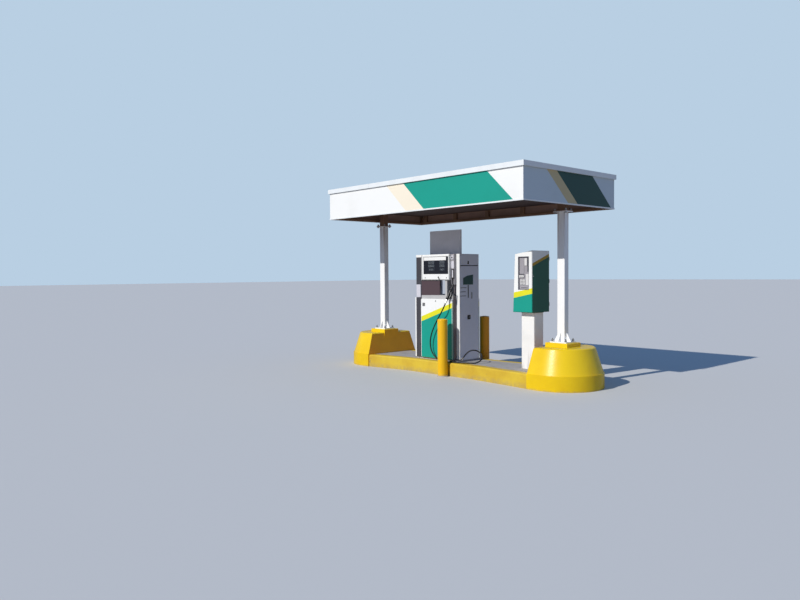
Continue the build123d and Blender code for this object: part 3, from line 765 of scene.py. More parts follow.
# %% One coat each
beams = ["edge_frame", "cross_beam_left", "cross_beam_right", "stub_left", "stub_right"]
purlins = ["purlin_front", "purlin_middle", "purlin_back"]
coats = {
    column_enamel: ["column_left", "column_right"],
    post_enamel: ["terminal_post"],
    cap_powder_coat: ["cap_front", "cap_back", "cap_left", "cap_right"],
    frame_primer: beams + purlins,
    soffit_trays_painted_shade: ["soffit_board"],
    galvanised_sheet: ["roof_sheet"],
    kerb_yellow: ["kerb_front", "kerb_back"],
    bollard_yellow: ["bollard_front"],
    back_bollard_painted_shade_yellow: ["bollard_back"],
    concrete: ["island_slab"],
    cabinet_powder_coat: ["riser_strips", "dispenser_head"],
    grey_abs: ["terminal_panel", "nozzle_boot"],
    base_powder_coat: ["dispenser_base"],
    panel_livery: ["cabinet_panel_front", "cabinet_panel_back"],
    board_laminate: ["topper_board"],
}
for coat, names in coats.items():
    for name in names:
        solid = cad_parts[name]
        solid.data.materials.clear()
        solid.data.materials.append(coat)
print("plain coats on", sum(len(names) for names in coats.values()), "solids")

# %% [markdown]
# Other solids have more than one finish, as a folded sheet has its livery outside and
# primer inside. For these a small function looks at the place and direction of each face
# and says which finish it gets. The faces themselves stay as they are.

# %% Several coats on one solid
NEARLY = 0.9


def coat_faces(name, finishes, pick):
    """Give each face of a solid one of several finishes, by its centre c and normal n."""
    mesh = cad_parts[name].data
    mesh.materials.clear()
    for one in finishes:
        mesh.materials.append(one)
    counts = [0] * len(finishes)
    for face in mesh.polygons:
        face.material_index = pick(face.center, face.normal)
        counts[face.material_index] += 1
    print(name, "faces per finish", counts)


def looks_out(name, axis, sign):
    """A rule that tells a solid's outermost flat face along an axis from its other faces."""
    edge = max(sign * corner[axis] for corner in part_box(name))
    return lambda c, n: int(n[axis] * sign > NEARLY and c[axis] * sign > edge - 0.001)


for side, axis, sign in (("front", 1, -1), ("back", 1, 1), ("left", 0, -1), ("right", 0, 1)):
    vinyl = fascia_long if axis else fascia_short_painted_shade
    coat_faces("fascia_" + side, [inner_primer, vinyl], looks_out("fascia_" + side, axis, sign))

# %% [markdown]
# A plinth is one solid, and only its face towards the island gets the deeper yellow of
# painted shade. That face is found by its direction: it is flat and looks inwards along X.

# %% Plinths
for side, sign in (("left", -1), ("right", 1)):
    coats_of_it = [plinth_yellow, plinth_painted_shade_yellow]
    coat_faces("plinth_" + side, coats_of_it, lambda c, n: int(n.x * sign < -NEARLY))

# %% [markdown]
# The glass is the floor of each display's recess, level with the face of the head. The
# rest of the display is its white bezel, so depth and height tell the two apart.

# %% Displays
head_left, head_foot, _, head_top = upright("dispenser_head")
HEAD_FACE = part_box("dispenser_head")[1].y
glass_foot, glass_top = head_foot + 0.08, head_foot + 0.42


def is_glass(c, n):
    """Whether a face is the floor of a display's recess."""
    deep = abs(n.y) > NEARLY and abs(abs(c.y) - HEAD_FACE) < 0.002
    return int(deep and glass_foot < c.z < glass_top)


for side in ("front", "back"):
    coat_faces("display_" + side, [cabinet_powder_coat, smoked_acrylic], is_glass)

# %% [markdown]
# The neck has dark sheets outside. Its bottom plate and its bars on the right are pale. The
# backs of the sheets are pale too, as painted light for the light that shines through the
# open neck.

# %% Neck and cabinet
_, neck_foot, neck_right, _ = upright("neck_panel")
bars_from, plate_top = neck_right - 0.14, neck_foot + 0.0087
# Painted light: the inward faces of the sheets get the pale coat.
coat_faces(
    "neck_panel",
    [neck_enamel, rim_powder_coat],
    lambda c, n: int(c.x > bars_from or c.z < plate_top or n.y * c.y < -0.1),
)
coat_faces("dispenser_cabinet", [rim_powder_coat, recess_enamel], lambda c, n: int(abs(n.x) > 0.5))

# %% [markdown]
# The two side columns are dark in front and pale beside. What stands out from the left
# one is the lamp's box, and what stands out from the right one is the hose's elbow.

# %% Side columns
column_left, _, _, column_top = upright("dispenser_side_left")
column_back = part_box("dispenser_side_left")[1].y
side_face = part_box("riser_strips")[1].x
coat_faces(
    "dispenser_side_left",
    [side_powder_coat, dark_powder_coat, lens_abs],
    lambda c, n: 2 if abs(c.y) > column_back + 0.0005 else int(abs(n.y) > 0.5),
)
coat_faces(
    "dispenser_side_right",
    [side_powder_coat, recess_enamel, stainless_steel],
    lambda c, n: 2 if c.x > side_face + 0.0001 else int(abs(n.y) > 0.5),
)

# %% [markdown]
# The terminal's head is white with vinyl on its faces, and its recess is grey inside. The
# nozzle is black from cover to spout, and only its swivel below is bright.

# %% Terminal and nozzle
SWIVEL, RECESS_FRONT, RECESS_BACK = 0.034, -0.224, -0.18
recess_left, recess_foot, recess_right, recess_top = upright("terminal_panel")
recess_left, recess_right, recess_top = recess_left - AIR, recess_right + AIR, recess_top + 2 * AIR


def in_recess(c, n):
    """Whether a face is a wall of the terminal's recess."""
    inside = recess_left - 0.005 < c.x < recess_right + 0.004
    upwards = recess_foot - 0.002 < c.z < recess_top + 0.004
    deep = RECESS_FRONT < c.y < RECESS_BACK
    return inside and upwards and deep and abs(n.y) < 0.1


coat_faces(
    "terminal_head",
    [cabinet_powder_coat, terminal_front, terminal_side_painted_shade, grey_abs],
    lambda c, n: 3 if in_recess(c, n) else 1 if abs(n.y) > 0.7 else 2 if abs(n.x) > 0.7 else 0,
)
coat_faces(
    "nozzle",
    [black_abs, stainless_steel],
    lambda c, n: int((c - NOZZLE_LOW).dot(NOZZLE_DIR) < SWIVEL),
)

# %% [markdown]
# Rain that runs down a fascia needs an edge to drip from. Fitters rivet a slim angle along
# the bottom of the sheet for that, so it is a frame that runs round the whole canopy, with
# a narrow lip folded under it.

# %% Drip trim
long_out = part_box("fascia_right")[1].x
wide_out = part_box("fascia_back")[1].y
fascia_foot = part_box("fascia_front")[0].z
TRIM_OUT, TRIM_WIDE, TRIM_DOWN, TRIM_RISE = 0.006, 0.0058, 0.006, 0.016
LIP_OUT, LIP_WIDE, LIP_DOWN, LIP_TOP = 0.0055, 0.014, 0.0062, 0.0022
bm = bmesh.new()
x, y = long_out + TRIM_OUT, wide_out + TRIM_OUT
bar = hoop(bm, -x, x, -y, y, TRIM_WIDE, fascia_foot - TRIM_DOWN, fascia_foot + TRIM_RISE)
soften(bm, bar, 0.0012)
x, y = long_out + LIP_OUT, wide_out + LIP_OUT
hoop(bm, -x, x, -y, y, LIP_WIDE, fascia_foot - LIP_DOWN, fascia_foot - LIP_TOP)
piece("drip_trim", bm, cap_powder_coat)

# %% [markdown]
# The cap is folded from sheets of limited length, so a short cover hides each butt joint.
# Only its part on the cap's outer leg can be seen, so each cover is a thin plate there.

# %% Joint covers of the cap
COVER_HALF, COVER_IN, COVER_OUT = 0.04, 0.0002, 0.0018
cap_x, cap_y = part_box("cap_right")[1].x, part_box("cap_back")[1].y
cap_foot, cap_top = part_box("cap_front")[0].z + 0.0002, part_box("cap_front")[1].z - 0.0005
bm = bmesh.new()
for s in (-1, 1):
    for x in (-long_out / 2, 0.0, long_out / 2):
        leg = (s * (cap_y + COVER_IN), s * (cap_y + COVER_OUT))
        cover = box(bm, x - COVER_HALF, x + COVER_HALF, *leg, cap_foot, cap_top)
        soften(bm, cover, 0.0006, 1)
    leg = sorted((s * (cap_x + COVER_IN), s * (cap_x + COVER_OUT)))
    cover = box(bm, *leg, -COVER_HALF, COVER_HALF, cap_foot, cap_top)
    soften(bm, cover, 0.0006, 1)
piece("cap_joint_covers", bm, cap_powder_coat)

# %% [markdown]
# Each column stands on four anchor bolts cast into its plinth, with a nut and a lock nut.
# A hexagon is a cone with six sides and no taper.

# %% Nuts and anchor bolts
NUT_ACROSS, NUT_H, LOCK_NUT_H, WASHER, BOLT_R = 0.030, 0.016, 0.010, 0.003, 0.0094
FOOT_PLATE, FOOT_BOLT_IN = 0.015, 0.032


def nut(bm, x, y, z, height):
    """A hexagon nut with a washer under it, its seat at z."""
    rod(bm, (x, y, z), (x, y, z + WASHER), NUT_ACROSS * 0.62, 20)
    rod(bm, (x, y, z + WASHER), (x, y, z + WASHER + height), NUT_ACROSS * 0.577, 6)


bolts = bmesh.new()
for side in ("left", "right"):
    low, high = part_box("column_" + side)
    for x in (low.x + FOOT_BOLT_IN, high.x - FOOT_BOLT_IN):
        for y in (low.y + FOOT_BOLT_IN, high.y - FOOT_BOLT_IN):
            nut(bolts, x, y, low.z + FOOT_PLATE, NUT_H)
            nut(bolts, x, y, low.z + FOOT_PLATE + WASHER + NUT_H, LOCK_NUT_H)
            stud = rod(bolts, (x, y, low.z + 0.0017), (x, y, low.z + 0.0647), BOLT_R, 14)
            soften(bolts, stud, 0.0015, 1)
print("anchor bolts", len(bolts.faces), "faces")

# %% [markdown]
# At its head each column's flange is bolted to the stub under the beam, with the bolt's
# head below and the nut above. Both rows of bolts are one piece.

# %% Flange bolts
FLANGE, FLANGE_BOLT_IN, HEAD_H = 0.012, 0.024, 0.0125
for side in ("left", "right"):
    low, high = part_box("stub_" + side)
    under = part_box("column_" + side)[1].z - 0.0125
    for x in (low.x + FLANGE_BOLT_IN, high.x - FLANGE_BOLT_IN):
        for y in (low.y + FLANGE_BOLT_IN, high.y - FLANGE_BOLT_IN):
            nut(bolts, x, y, low.z + FLANGE, NUT_H)
            seat = under - WASHER
            rod(bolts, (x, y, seat), (x, y, under), NUT_ACROSS * 0.62, 20)
            rod(bolts, (x, y, seat - HEAD_H), (x, y, seat), NUT_ACROSS * 0.577, 6)
            rod(bolts, (x, y, seat), (x, y, low.z + 0.0417), BOLT_R, 14)
piece("column_bolts", bolts, zinc_plated_steel)

# %% [markdown]
# The roof sheet is screwed through its valleys into the purlins, each screw with a rubber
# washer under a hexagon head. Modelling one screw and copying it would do as well, but a
# loop places each by its valley. One row follows each purlin, and the rows are 640 mm apart.

# %% Roof screws
RIB_PITCH, ROW_PITCH, SHEET_UP = 0.2, 0.6403, 0.0025
valley_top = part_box("roof_sheet")[0].z + SHEET_UP
bm = bmesh.new()
for row in (-1, 0, 1):
    y = row * ROW_PITCH
    for i in range(-10, 11):
        x = i * RIB_PITCH
        rod(bm, (x, y, valley_top), (x, y, valley_top + 0.003), 0.010, 12, 0.008)
        rod(bm, (x, y, valley_top + 0.0027), (x, y, valley_top + 0.0097), 0.0052, 6)
piece("roof_screws", bm, zinc_plated_steel)

# %% [markdown]
# The front of the dispenser repeats on its back. So each thing on it is made for both
# sides: s is -1 for the front and 1 for the back. This helper puts a box on such a face,
# measured from the left and the foot of what carries it, and outwards from its face.

# %% Boxes on both faces


def on_face(bm, left, foot, face, s, across, upwards, out, round_by=0.0):
    """A box on the face at y = s * face. The three spans are measured from left, foot and face."""
    x0, x1 = left + across[0], left + across[1]
    y0, y1 = s * (face + out[0]), s * (face + out[1])
    made = box(bm, x0, x1, y0, y1, foot + upwards[0], foot + upwards[1])
    if round_by:
        soften(bm, made, round_by)
    return made


SIDES = (-1, 1)
print("face boxes ready")

# %% [markdown]
# Behind the glass sit the windows for money, litres and price. They are slightly raised
# panes, three rows of them on the left and three on the right.

# %% Display windows
ROWS = ((0.293, 0.036), (0.233, 0.036), (0.173, 0.024))
COLUMNS = ((0.180, 0.165, 5), (0.454, 0.146, 4))
PANE_RIM = 0.011
bm = bmesh.new()
for s in SIDES:
    for start, wide, count in COLUMNS:
        for up_by, tall in ROWS:
            rise = (up_by - PANE_RIM, up_by + tall + PANE_RIM)
            span = (start, start + wide)
            on_face(bm, head_left, head_foot, HEAD_FACE, s, span, rise, (0.0002, 0.0022), 0.002)
windows = bm
print("panes", len(SIDES) * len(COLUMNS) * len(ROWS))

# %% [markdown]
# A seven segment figure is seven thin bars of which some are lit. The figures here are
# plain zeros, so six bars are lit. Each bar is given by its place in the figure, and
# whether it lies flat or stands. A figure on the back runs the other way in X.

# %% Display figures
ZERO = ((0, 1, 1, 0), (1, 0.5, 0, 1), (1, 0, 0, 1), (0, 0, 1, 0), (0, 0, 0, 1), (0, 0.5, 0, 1))


BAR_SHARE, GAP_SHARE, BAR_BACK, BAR_FRONT = 0.09, 0.7, 0.0021, 0.0028


def figure(bm, s, x, z, width, height):
    """A seven segment zero with its lower left corner at x, z, seen from side s."""
    thick = height * BAR_SHARE
    gap = GAP_SHARE * thick
    for u, v, flat, tall in ZERO:
        u0 = u * width + gap * flat - thick / 2 * tall
        v0 = v * height + gap * tall - thick / 2 * flat
        u1 = u * width + flat * (width - gap) + thick / 2 * tall
        v1 = v0 + thick * flat + tall * (height / 2 - 2 * gap)
        deep = (s * (HEAD_FACE + BAR_BACK), s * (HEAD_FACE + BAR_FRONT))
        box(bm, *sorted((x - s * u0, x - s * u1)), *deep, z + v0, z + v1)


PITCH_SHARE = 0.78
bm = bmesh.new()
for s in SIDES:
    for start, wide, count in COLUMNS:
        for up_by, tall in ROWS:
            pitch = tall * PITCH_SHARE
            first = head_left + start + wide / 2 + s * pitch * count / 2
            for i in range(count):
                figure(bm, s, first - s * pitch * i, head_foot + up_by, tall * 0.5, tall)
piece("display_windows", windows, crystal_field)
piece("display_figures", bm, crystal_bars)

# %% [markdown]
# Over the windows runs a bare white header, a strip of the same coated sheet as the head.
# It stands 4.5 mm proud, so a bevelled box shows a thin shadow under it.

# %% Display headers
HEADER = ((0.076, 0.620), (0.346, 0.406), (0.0002, 0.0045))
bm = bmesh.new()
for s in SIDES:
    on_face(bm, head_left, head_foot, HEAD_FACE, s, *HEADER, 0.002)
piece("display_headers", bm, cabinet_powder_coat)

# %% [markdown]
# Round each display a rubber gasket closes the joint between the bezel that swings open
# and the head. It shows as a dark line at the left and below, and its black is also painted
# shade for the shadow gap in that joint.

# %% Gaskets
GASKET_OUT = (0.0002, 0.0012)
STANDING = ((0.0165, 0.0295), (0.0077, head_top - head_foot - 0.0075), GASKET_OUT)
LYING = ((0.0165, 0.6895), (0.0025, 0.0075), GASKET_OUT)
bm = bmesh.new()
for s in SIDES:
    for gasket in (STANDING, LYING):
        # Partly painted shade: the black strip also stands for the shadow in the joint.
        on_face(bm, head_left, head_foot, HEAD_FACE, s, *gasket)
piece("bezel_gaskets_and_gap_shade", bm, nitrile_rubber)

# %% [markdown]
# Under the glass the bezel carries two locks and a small hook for the hose. The hook is
# two bent lengths of bar, with a ball at each bend to close it.

# %% Locks and hooks on the head
HOOK = ((0.444, 0.0075, 0.059), (0.452, 0.030, 0.051), (0.490, 0.038, 0.016))
LOCKS_ACROSS, LOCKS_UP = (0.115, 0.635), 0.041
bm = bmesh.new()
for s in SIDES:
    for across in LOCKS_ACROSS:
        x, z = head_left + across, head_foot + LOCKS_UP
        rod(bm, (x, s * (HEAD_FACE + 0.0078), z), (x, s * (HEAD_FACE + 0.0105), z), 0.009, 20)
        key = (across - 0.0055, across + 0.0055)
        on_face(bm, head_left, head_foot, HEAD_FACE, s, key, (0.0402, 0.0418), (0.0105, 0.0112))
    arm = [Vector((head_left + a, s * (HEAD_FACE + out), head_foot + b)) for a, out, b in HOOK]
    for start, end in zip(arm, arm[1:]):
        rod(bm, start, end, 0.0065, 12)
    for bend in arm[1:]:
        ball = Matrix.Translation(bend)
        bmesh.ops.create_uvsphere(bm, u_segments=12, v_segments=8, radius=0.0075, matrix=ball)
piece("head_locks", bm, black_abs)

# %% [markdown]
# The left column ends in a white moulded cap that sits over its folded sheets. It is one
# box with a bevel three segments wide, because a moulded edge is rounder than a folded one.

# %% Cap of the left column
CAP_OVER, CAP_REACH, CAP_DOWN, CAP_UP = 0.0015, 0.1475, 0.0422, 0.0025
bm = bmesh.new()
y = column_back + CAP_OVER
span = (column_left - CAP_OVER, column_left + CAP_REACH)
cap = box(bm, *span, -y, y, column_top - CAP_DOWN, column_top + CAP_UP)
soften(bm, cap, 0.004, 3)
piece("column_cap", bm, cabinet_powder_coat)

# %% [markdown]
# A flat lens covers the light box on the column's front. It is a moulded block, with two
# small screws on its middle line.

# %% Lens of the light box
lamp_face = -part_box("dispenser_side_left")[0].y
lens_middle = column_left + 0.075
LENS = ((0.024, 0.126), (-0.756, -0.533), (-0.0002, 0.0032))
LENS_SCREWS = (0.747, 0.542)
bm = bmesh.new()
on_face(bm, column_left, column_top, lamp_face, -1, *LENS)
soften(bm, bm.verts[:], 0.003, 3)
for drop in LENS_SCREWS:
    z = column_top - drop
    rod(bm, (lens_middle, -lamp_face - 0.003, z), (lens_middle, -lamp_face - 0.0045, z), 0.003, 10)
piece("lamp_lens", bm, lens_abs)

# %% [markdown]
# A white corner profile runs down the outer edge of the column from the light box to the
# base. It is an angle: one leg shows in front as a bright line, the other is riveted to
# the side sheet. Its section is one outline, extruded upwards.

# %% Corner profiles
LEG, WALL, LEG_BACK, PROFILE_H = 0.025, 0.002, 0.035, 1.072
PROFILE_RIVETS = (1.77, 1.43, 1.09, 0.81)
profile_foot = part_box("dispenser_side_left")[0].z + 0.0006
bm = bmesh.new()
for s in SIDES:
    front, inner = s * (column_back + 0.0015), s * (column_back + 0.0015 - WALL)
    corner, back = s * (column_back + 0.0002), s * (column_back - LEG_BACK)
    section = (
        (column_left - LEG, front),
        (column_left + 0.0015, front),
        (column_left + 0.0015, corner),
        (column_left - 0.0002, corner),
        (column_left - 0.0002, back),
        (column_left - 0.0025, back),
        (column_left - 0.0025, inner),
        (column_left - LEG, inner),
    )
    plate(bm, [(x, y, profile_foot) for x, y in section], (0, 0, PROFILE_H))
    for drop in PROFILE_RIVETS:
        y, z = s * (column_back - 0.020), column_top - drop
        rod(bm, (column_left - 0.0023, y, z), (column_left - 0.0042, y, z), 0.004, 12)
piece("corner_profiles", bm, cabinet_powder_coat)

# %% [markdown]
# Beside the head, over the nozzle, sits the hose's guide roller. Under it are a plain
# plate and a narrow bare label in a dark frame, all on the nozzle's housing.

# %% Plates on the nozzle's housing
boot_left, boot_foot = upright("nozzle_boot")[:2]
boot_left -= AIR
BOOT_FACE = -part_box("nozzle_boot")[0].y - AIR
roller_x, roller_z = boot_left + 0.031, boot_foot + 0.469
ROLLER_R = 0.0385
PLAIN_PLATE = ((0.004, 0.069), (0.283, 0.408), (-0.0005, 0.0045))
LABEL = ((0.026, 0.054), (0.124, 0.252), (0.0075, 0.0105))
bm = bmesh.new()
disc_back = (roller_x, 0.0005 - BOOT_FACE, roller_z)
disc = rod(bm, disc_back, (roller_x, -BOOT_FACE - 0.013, roller_z), ROLLER_R, 40)
soften(bm, disc, 0.005, 3)
on_face(bm, boot_left, boot_foot, BOOT_FACE, -1, *PLAIN_PLATE, 0.002)
on_face(bm, boot_left, boot_foot, BOOT_FACE, -1, *LABEL, 0.001)
piece("boot_plates", bm, lens_abs)

# %% [markdown]
# The roller's hub, the label's frame and the screws of the plate are black. They are a
# piece of their own, because each piece here has one finish.

# %% Black fittings on the nozzle's housing
HUB_R = 0.014
LABEL_FRAME = ((0.012, 0.069), (0.104, 0.271), (-0.0005, 0.0078))
SCREWS_ACROSS, SCREWS_UP = (0.010, 0.063), (0.290, 0.401)
bm = bmesh.new()
hub_back = (roller_x, -BOOT_FACE - 0.0128, roller_z)
hub = rod(bm, hub_back, (roller_x, -BOOT_FACE - 0.019, roller_z), HUB_R, 24)
soften(bm, hub, 0.002)
on_face(bm, boot_left, boot_foot, BOOT_FACE, -1, *LABEL_FRAME, 0.002)
for across in SCREWS_ACROSS:
    for rise in SCREWS_UP:
        x, z = boot_left + across, boot_foot + rise
        rod(bm, (x, -BOOT_FACE - 0.004, z), (x, -BOOT_FACE - 0.0055, z), 0.0025, 10)
piece("boot_fittings", bm, black_abs)

# %% [markdown]
# The side panel of the right column is two thin sheets with a dark joint between them: a
# small service lid above and the tall panel below. Heights on this side are measured down
# from its top, and widths from its middle.

# %% Sheets on the right side
side_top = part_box("riser_strips")[1].z - AIR
side_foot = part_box("riser_strips")[0].z
SHEET_HALF, SHEET_IN, SHEET_OUT = 0.228, 0.0001, 0.0018
JOINT_TOP, JOINT_FOOT = 0.1937, 0.2093
sheet = (side_face + SHEET_IN, side_face + SHEET_OUT, -SHEET_HALF, SHEET_HALF)
bm = bmesh.new()
lid = box(bm, *sheet, side_top - JOINT_TOP + 0.0002, side_top - 0.0045)
soften(bm, lid, 0.001, 1)
panel = box(bm, *sheet, side_foot + 0.0144, side_top - JOINT_FOOT - 0.0002)
soften(bm, panel, 0.001, 1)
piece("side_sheets", bm, side_powder_coat)

# %% [markdown]
# The joint is filled with a rubber strip, a little lower than the sheets, so it shows as a
# dark line with a step on both sides. A thin box is enough for that.

# %% Joint on the right side
STRIP_HALF, STRIP_OUT = 0.230, 0.0006
bm = bmesh.new()
deep = (side_face, side_face + STRIP_OUT)
box(bm, *deep, -STRIP_HALF, STRIP_HALF, side_top - JOINT_FOOT, side_top - JOINT_TOP)
piece("side_joint", bm, nitrile_rubber)

# %% [markdown]
# High on the panel is a bare green plate with its lower edge cut away on a slant. A box
# can't have such an edge, so it is one outline, extruded 3 mm.

# %% Green plate
PLATE_OUT = side_face + 0.0019
PLATE = ((-0.160, 0.531), (0.093, 0.531), (0.093, 0.358), (-0.050, 0.375), (-0.160, 0.415))
bm = bmesh.new()
plate(bm, [(PLATE_OUT, y, side_top - drop) for y, drop in PLATE], (0.003, 0, 0))
piece("green_plate", bm, green_vinyl)

# %% [markdown]
# Under it are three plain dark lines, a card slot, a square keyed lock and, on the lid, a
# cam lock with a tapered handle. Each stands a few millimetres proud.

# %% Dark fittings on the right side


def on_side(bm, out, y0, y1, drop, drop_end, round_by=0.0, segments=2):
    """A box on the side sheet, between two drops below the side's top."""
    made = box(bm, PLATE_OUT, side_face + out, y0, y1, side_top - drop_end, side_top - drop)
    if round_by:
        soften(bm, made, round_by, segments)


LINES, LINE_HALF = ((-0.150, 0.584, 0.15), (-0.162, 0.654, 0.13), (-0.160, 0.725, 0.14)), 0.005
CARD_SLIT, KEYED_LOCK = (-0.041, -0.021, 0.538, 0.760), (-0.054, 0.022, 1.060, 1.134)
CAM_Y, CAM_DROP, CAM_R = -0.029, 0.134, 0.015
HANDLE = ((-0.023, 0.176), (0.023, 0.176), (0.011, 0.138), (-0.011, 0.138))
bm = bmesh.new()
for y, drop, wide in LINES:
    on_side(bm, 0.0023, y - wide / 2, y + wide / 2, drop - LINE_HALF, drop + LINE_HALF)
on_side(bm, 0.0065, *CARD_SLIT, 0.003)
on_side(bm, 0.010, *KEYED_LOCK, 0.005, 3)
z = side_top - CAM_DROP
cam = rod(bm, (side_face + 0.0018, CAM_Y, z), (side_face + 0.008, CAM_Y, z), CAM_R, 24)
soften(bm, cam, 0.002)
corners = [(side_face + 0.0018, CAM_Y + y, side_top - drop) for y, drop in HANDLE]
cam = plate(bm, corners, (0.004, 0, 0))
soften(bm, cam, 0.0015)
piece("side_fittings", bm, black_abs)

# %% [markdown]
# The pull latch, the keyed lock's plug and the rivets of the sheets are bright metal. The
# rivets are short bars, because their domes are too low to be seen.

# %% Bright fittings on the right side
LATCH_Y, LATCH_HALF, LATCH_TOP, LATCH_FOOT, PIN_DROP = 0.061, 0.013, 0.665, 0.775, 0.695
PLUG_Y, PLUG_DROP = -0.016, 1.097
RIVET_Y, RIVET_DROPS = 0.215, (1.77, 1.29, 0.74, 0.23, 0.17, 0.03)
bm = bmesh.new()
on_side(bm, 0.008, LATCH_Y - LATCH_HALF, LATCH_Y + LATCH_HALF, LATCH_TOP, LATCH_FOOT, 0.003)
z = side_top - PIN_DROP
rod(bm, (side_face + 0.008, LATCH_Y, z), (side_face + 0.013, LATCH_Y, z), 0.008, 20)
z = side_top - PLUG_DROP
rod(bm, (side_face + 0.0098, PLUG_Y, z), (side_face + 0.012, PLUG_Y, z), 0.009, 24)
for y in (-RIVET_Y, RIVET_Y):
    for drop in RIVET_DROPS:
        z = side_top - drop
        rod(bm, (side_face + 0.0017, y, z), (side_face + 0.0034, y, z), 0.0045, 14)
piece("side_metal", bm, zinc_plated_steel)

# %% [markdown]
# The lift off panels hang on the top rim and are held by a quarter turn lock. A small bare
# plate is fixed beside it.

# %% Lock and plate on the cabinet
panel_low, panel_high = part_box("cabinet_panel_front")
PANEL_FACE = -panel_low.y
panel_left, panel_top = panel_low.x, panel_high.z - AIR
lock_x, lock_z = panel_left + 0.363, panel_top - 0.032
LOCK_R = 0.013
LOCK_BAR = ((-0.009, 0.009), (-0.0015, 0.0015), (0.0025, 0.0035))
TAG = ((0.034, 0.099), (-0.130, -0.070), (0.0001, 0.0012))
bolts = bmesh.new()
for s in SIDES:
    seat, face = s * (PANEL_FACE - 0.0005), s * (PANEL_FACE + 0.0025)
    rod(bolts, (lock_x, seat, lock_z), (lock_x, face, lock_z), LOCK_R, 24)
    on_face(bolts, lock_x, lock_z, PANEL_FACE, s, *LOCK_BAR)
    tag = on_face(bolts, panel_left, panel_top, PANEL_FACE, s, *TAG)
    soften(bolts, tag, 0.0008, 1)
print("locks", len(bolts.faces), "faces")

# %% [markdown]
# Six hexagon bolts hold the base frame, three at the front and three at the back. Each is
# a washer and a head, because the shank is out of sight.

# %% Bolts of the base frame
base_low, base_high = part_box("dispenser_base")
BASE_BOLT_IN = 0.05
z = base_low.z + 0.015
for s in SIDES:
    for x in (base_low.x + BASE_BOLT_IN, (base_low.x + base_high.x) / 2, base_high.x - BASE_BOLT_IN):
        seat = base_high.y + 0.0018
        rod(bolts, (x, s * (base_high.y - 0.0002), z), (x, s * seat, z), 0.0095, 20)
        rod(bolts, (x, s * seat, z), (x, s * (seat + 0.0047), z), 0.008, 6)
piece("cabinet_bolts", bolts, zinc_plated_steel)

# %% [markdown]
# The vinyl stops short of the sheet's folded edges. A white bead covers each cut edge, so
# a thin bright line borders the green.

# %% Beads of the panels
BEAD_OVER, BEAD_IN = 0.0025, 0.0065
bead_foot, bead_top = panel_low.z + 0.0084, panel_top - 0.007
bm = bmesh.new()
for s in SIDES:
    for edge, inwards in ((panel_low.x, 1), (panel_high.x, -1)):
        across = sorted((edge - BEAD_OVER * inwards, edge + BEAD_IN * inwards))
        deep = (s * (PANEL_FACE - 0.0001), s * (PANEL_FACE + 0.0018))
        bead = box(bm, *across, *deep, bead_foot, bead_top)
        soften(bm, bead, 0.0008, 1)
piece("panel_beads", bm, cabinet_powder_coat)

# %% [markdown]
# The nozzle is a casting in a black moulded cover. All that it has sits along its own
# slanting axis, so a helper turns a place on the nozzle into a place in the world.

# %% Places on the nozzle
SIDEWAYS = (Vector((1, 0, 0)) - NOZZLE_DIR * NOZZLE_DIR.x).normalized()
CROSS = NOZZLE_DIR.cross(SIDEWAYS)


def at(u, v, w):
    """A place on the nozzle: u towards the guard, v across it, w up its axis."""
    return NOZZLE_LOW + SIDEWAYS * u + CROSS * v + NOZZLE_DIR * w


print("spout ends at", tuple(round(c, 3) for c in at(0, 0, 0.34)))

# %% [markdown]
# Inside the guard hangs the lever, hinged at the front. It is a bent flat bar, so its
# outline is drawn once and extruded through its 10 mm of width.

# %% Lever
LEVER_HALF = 0.005
LEVER = (
    (0.030, 0.178),
    (0.044, 0.150),
    (0.047, 0.110),
    (0.042, 0.082),
    (0.036, 0.079),
    (0.041, 0.112),
    (0.038, 0.146),
    (0.026, 0.172),
)
bm = bmesh.new()
blade = plate(bm, [at(u, -LEVER_HALF, w) for u, w in LEVER], CROSS * (2 * LEVER_HALF))
soften(bm, blade, 0.0012)
rod(bm, at(0.028, -0.011, 0.174), at(0.028, 0.011, 0.174), 0.004, 16)
piece("nozzle_lever", bm, zinc_plated_steel)

# %% [markdown]
# A splash collar sits where body and spout meet, and ribs give the cover its grip. All are
# rings round the axis, given by where they start and end and their radius there.

# %% Cover of the nozzle
COLLARS = (
    (0.040, 0.058, 0.020, 0.0285),
    (0.058, 0.066, 0.0292, 0.0292),
    (0.196, 0.204, 0.0292, 0.0292),
    (0.214, 0.222, 0.026, 0.022),
)
RIBS, RIB_H, RIB_R = (0.100, 0.118, 0.136, 0.154), 0.006, 0.0282
bm = bmesh.new()
for start, end, radius, end_radius in COLLARS:
    collar = rod(bm, at(0, 0, start), at(0, 0, end), radius, 40, end_radius)
    soften(bm, collar, 0.0015)
for start in RIBS:
    rib = rod(bm, at(-0.0005, 0, start), at(-0.0005, 0, start + RIB_H), RIB_R, 40)
    soften(bm, rib, 0.001)
piece("nozzle_cover", bm, black_abs)

# %% [markdown]
# The hose ends in a pressed ferrule with a hexagon at both ends, which a spanner grips.
# Both are bars along the way the hose leaves, so one loop makes the two ends.

# %% Ferrules
SLEEVE_L, SLEEVE_R, HEXAGON_L, HEXAGON_R = 0.034, 0.0142, 0.010, 0.0185
bm = bmesh.new()
for start, direction in ((hose_exit, LIFT), (NOZZLE_LOW, -NOZZLE_DIR)):
    seat = start + direction * 0.0004
    sleeve = rod(bm, seat, start + direction * SLEEVE_L, SLEEVE_R, 32)
    soften(bm, sleeve, 0.002)
    rod(bm, seat, start + direction * HEXAGON_L, HEXAGON_R, 6)
piece("hose_ferrules", bm, stainless_steel)

# %% [markdown]
# The board is a bare sheet in a slim folded frame. The flat rails run right across and the
# upright ones stand between them, because two faces in one place would show as dark spots.

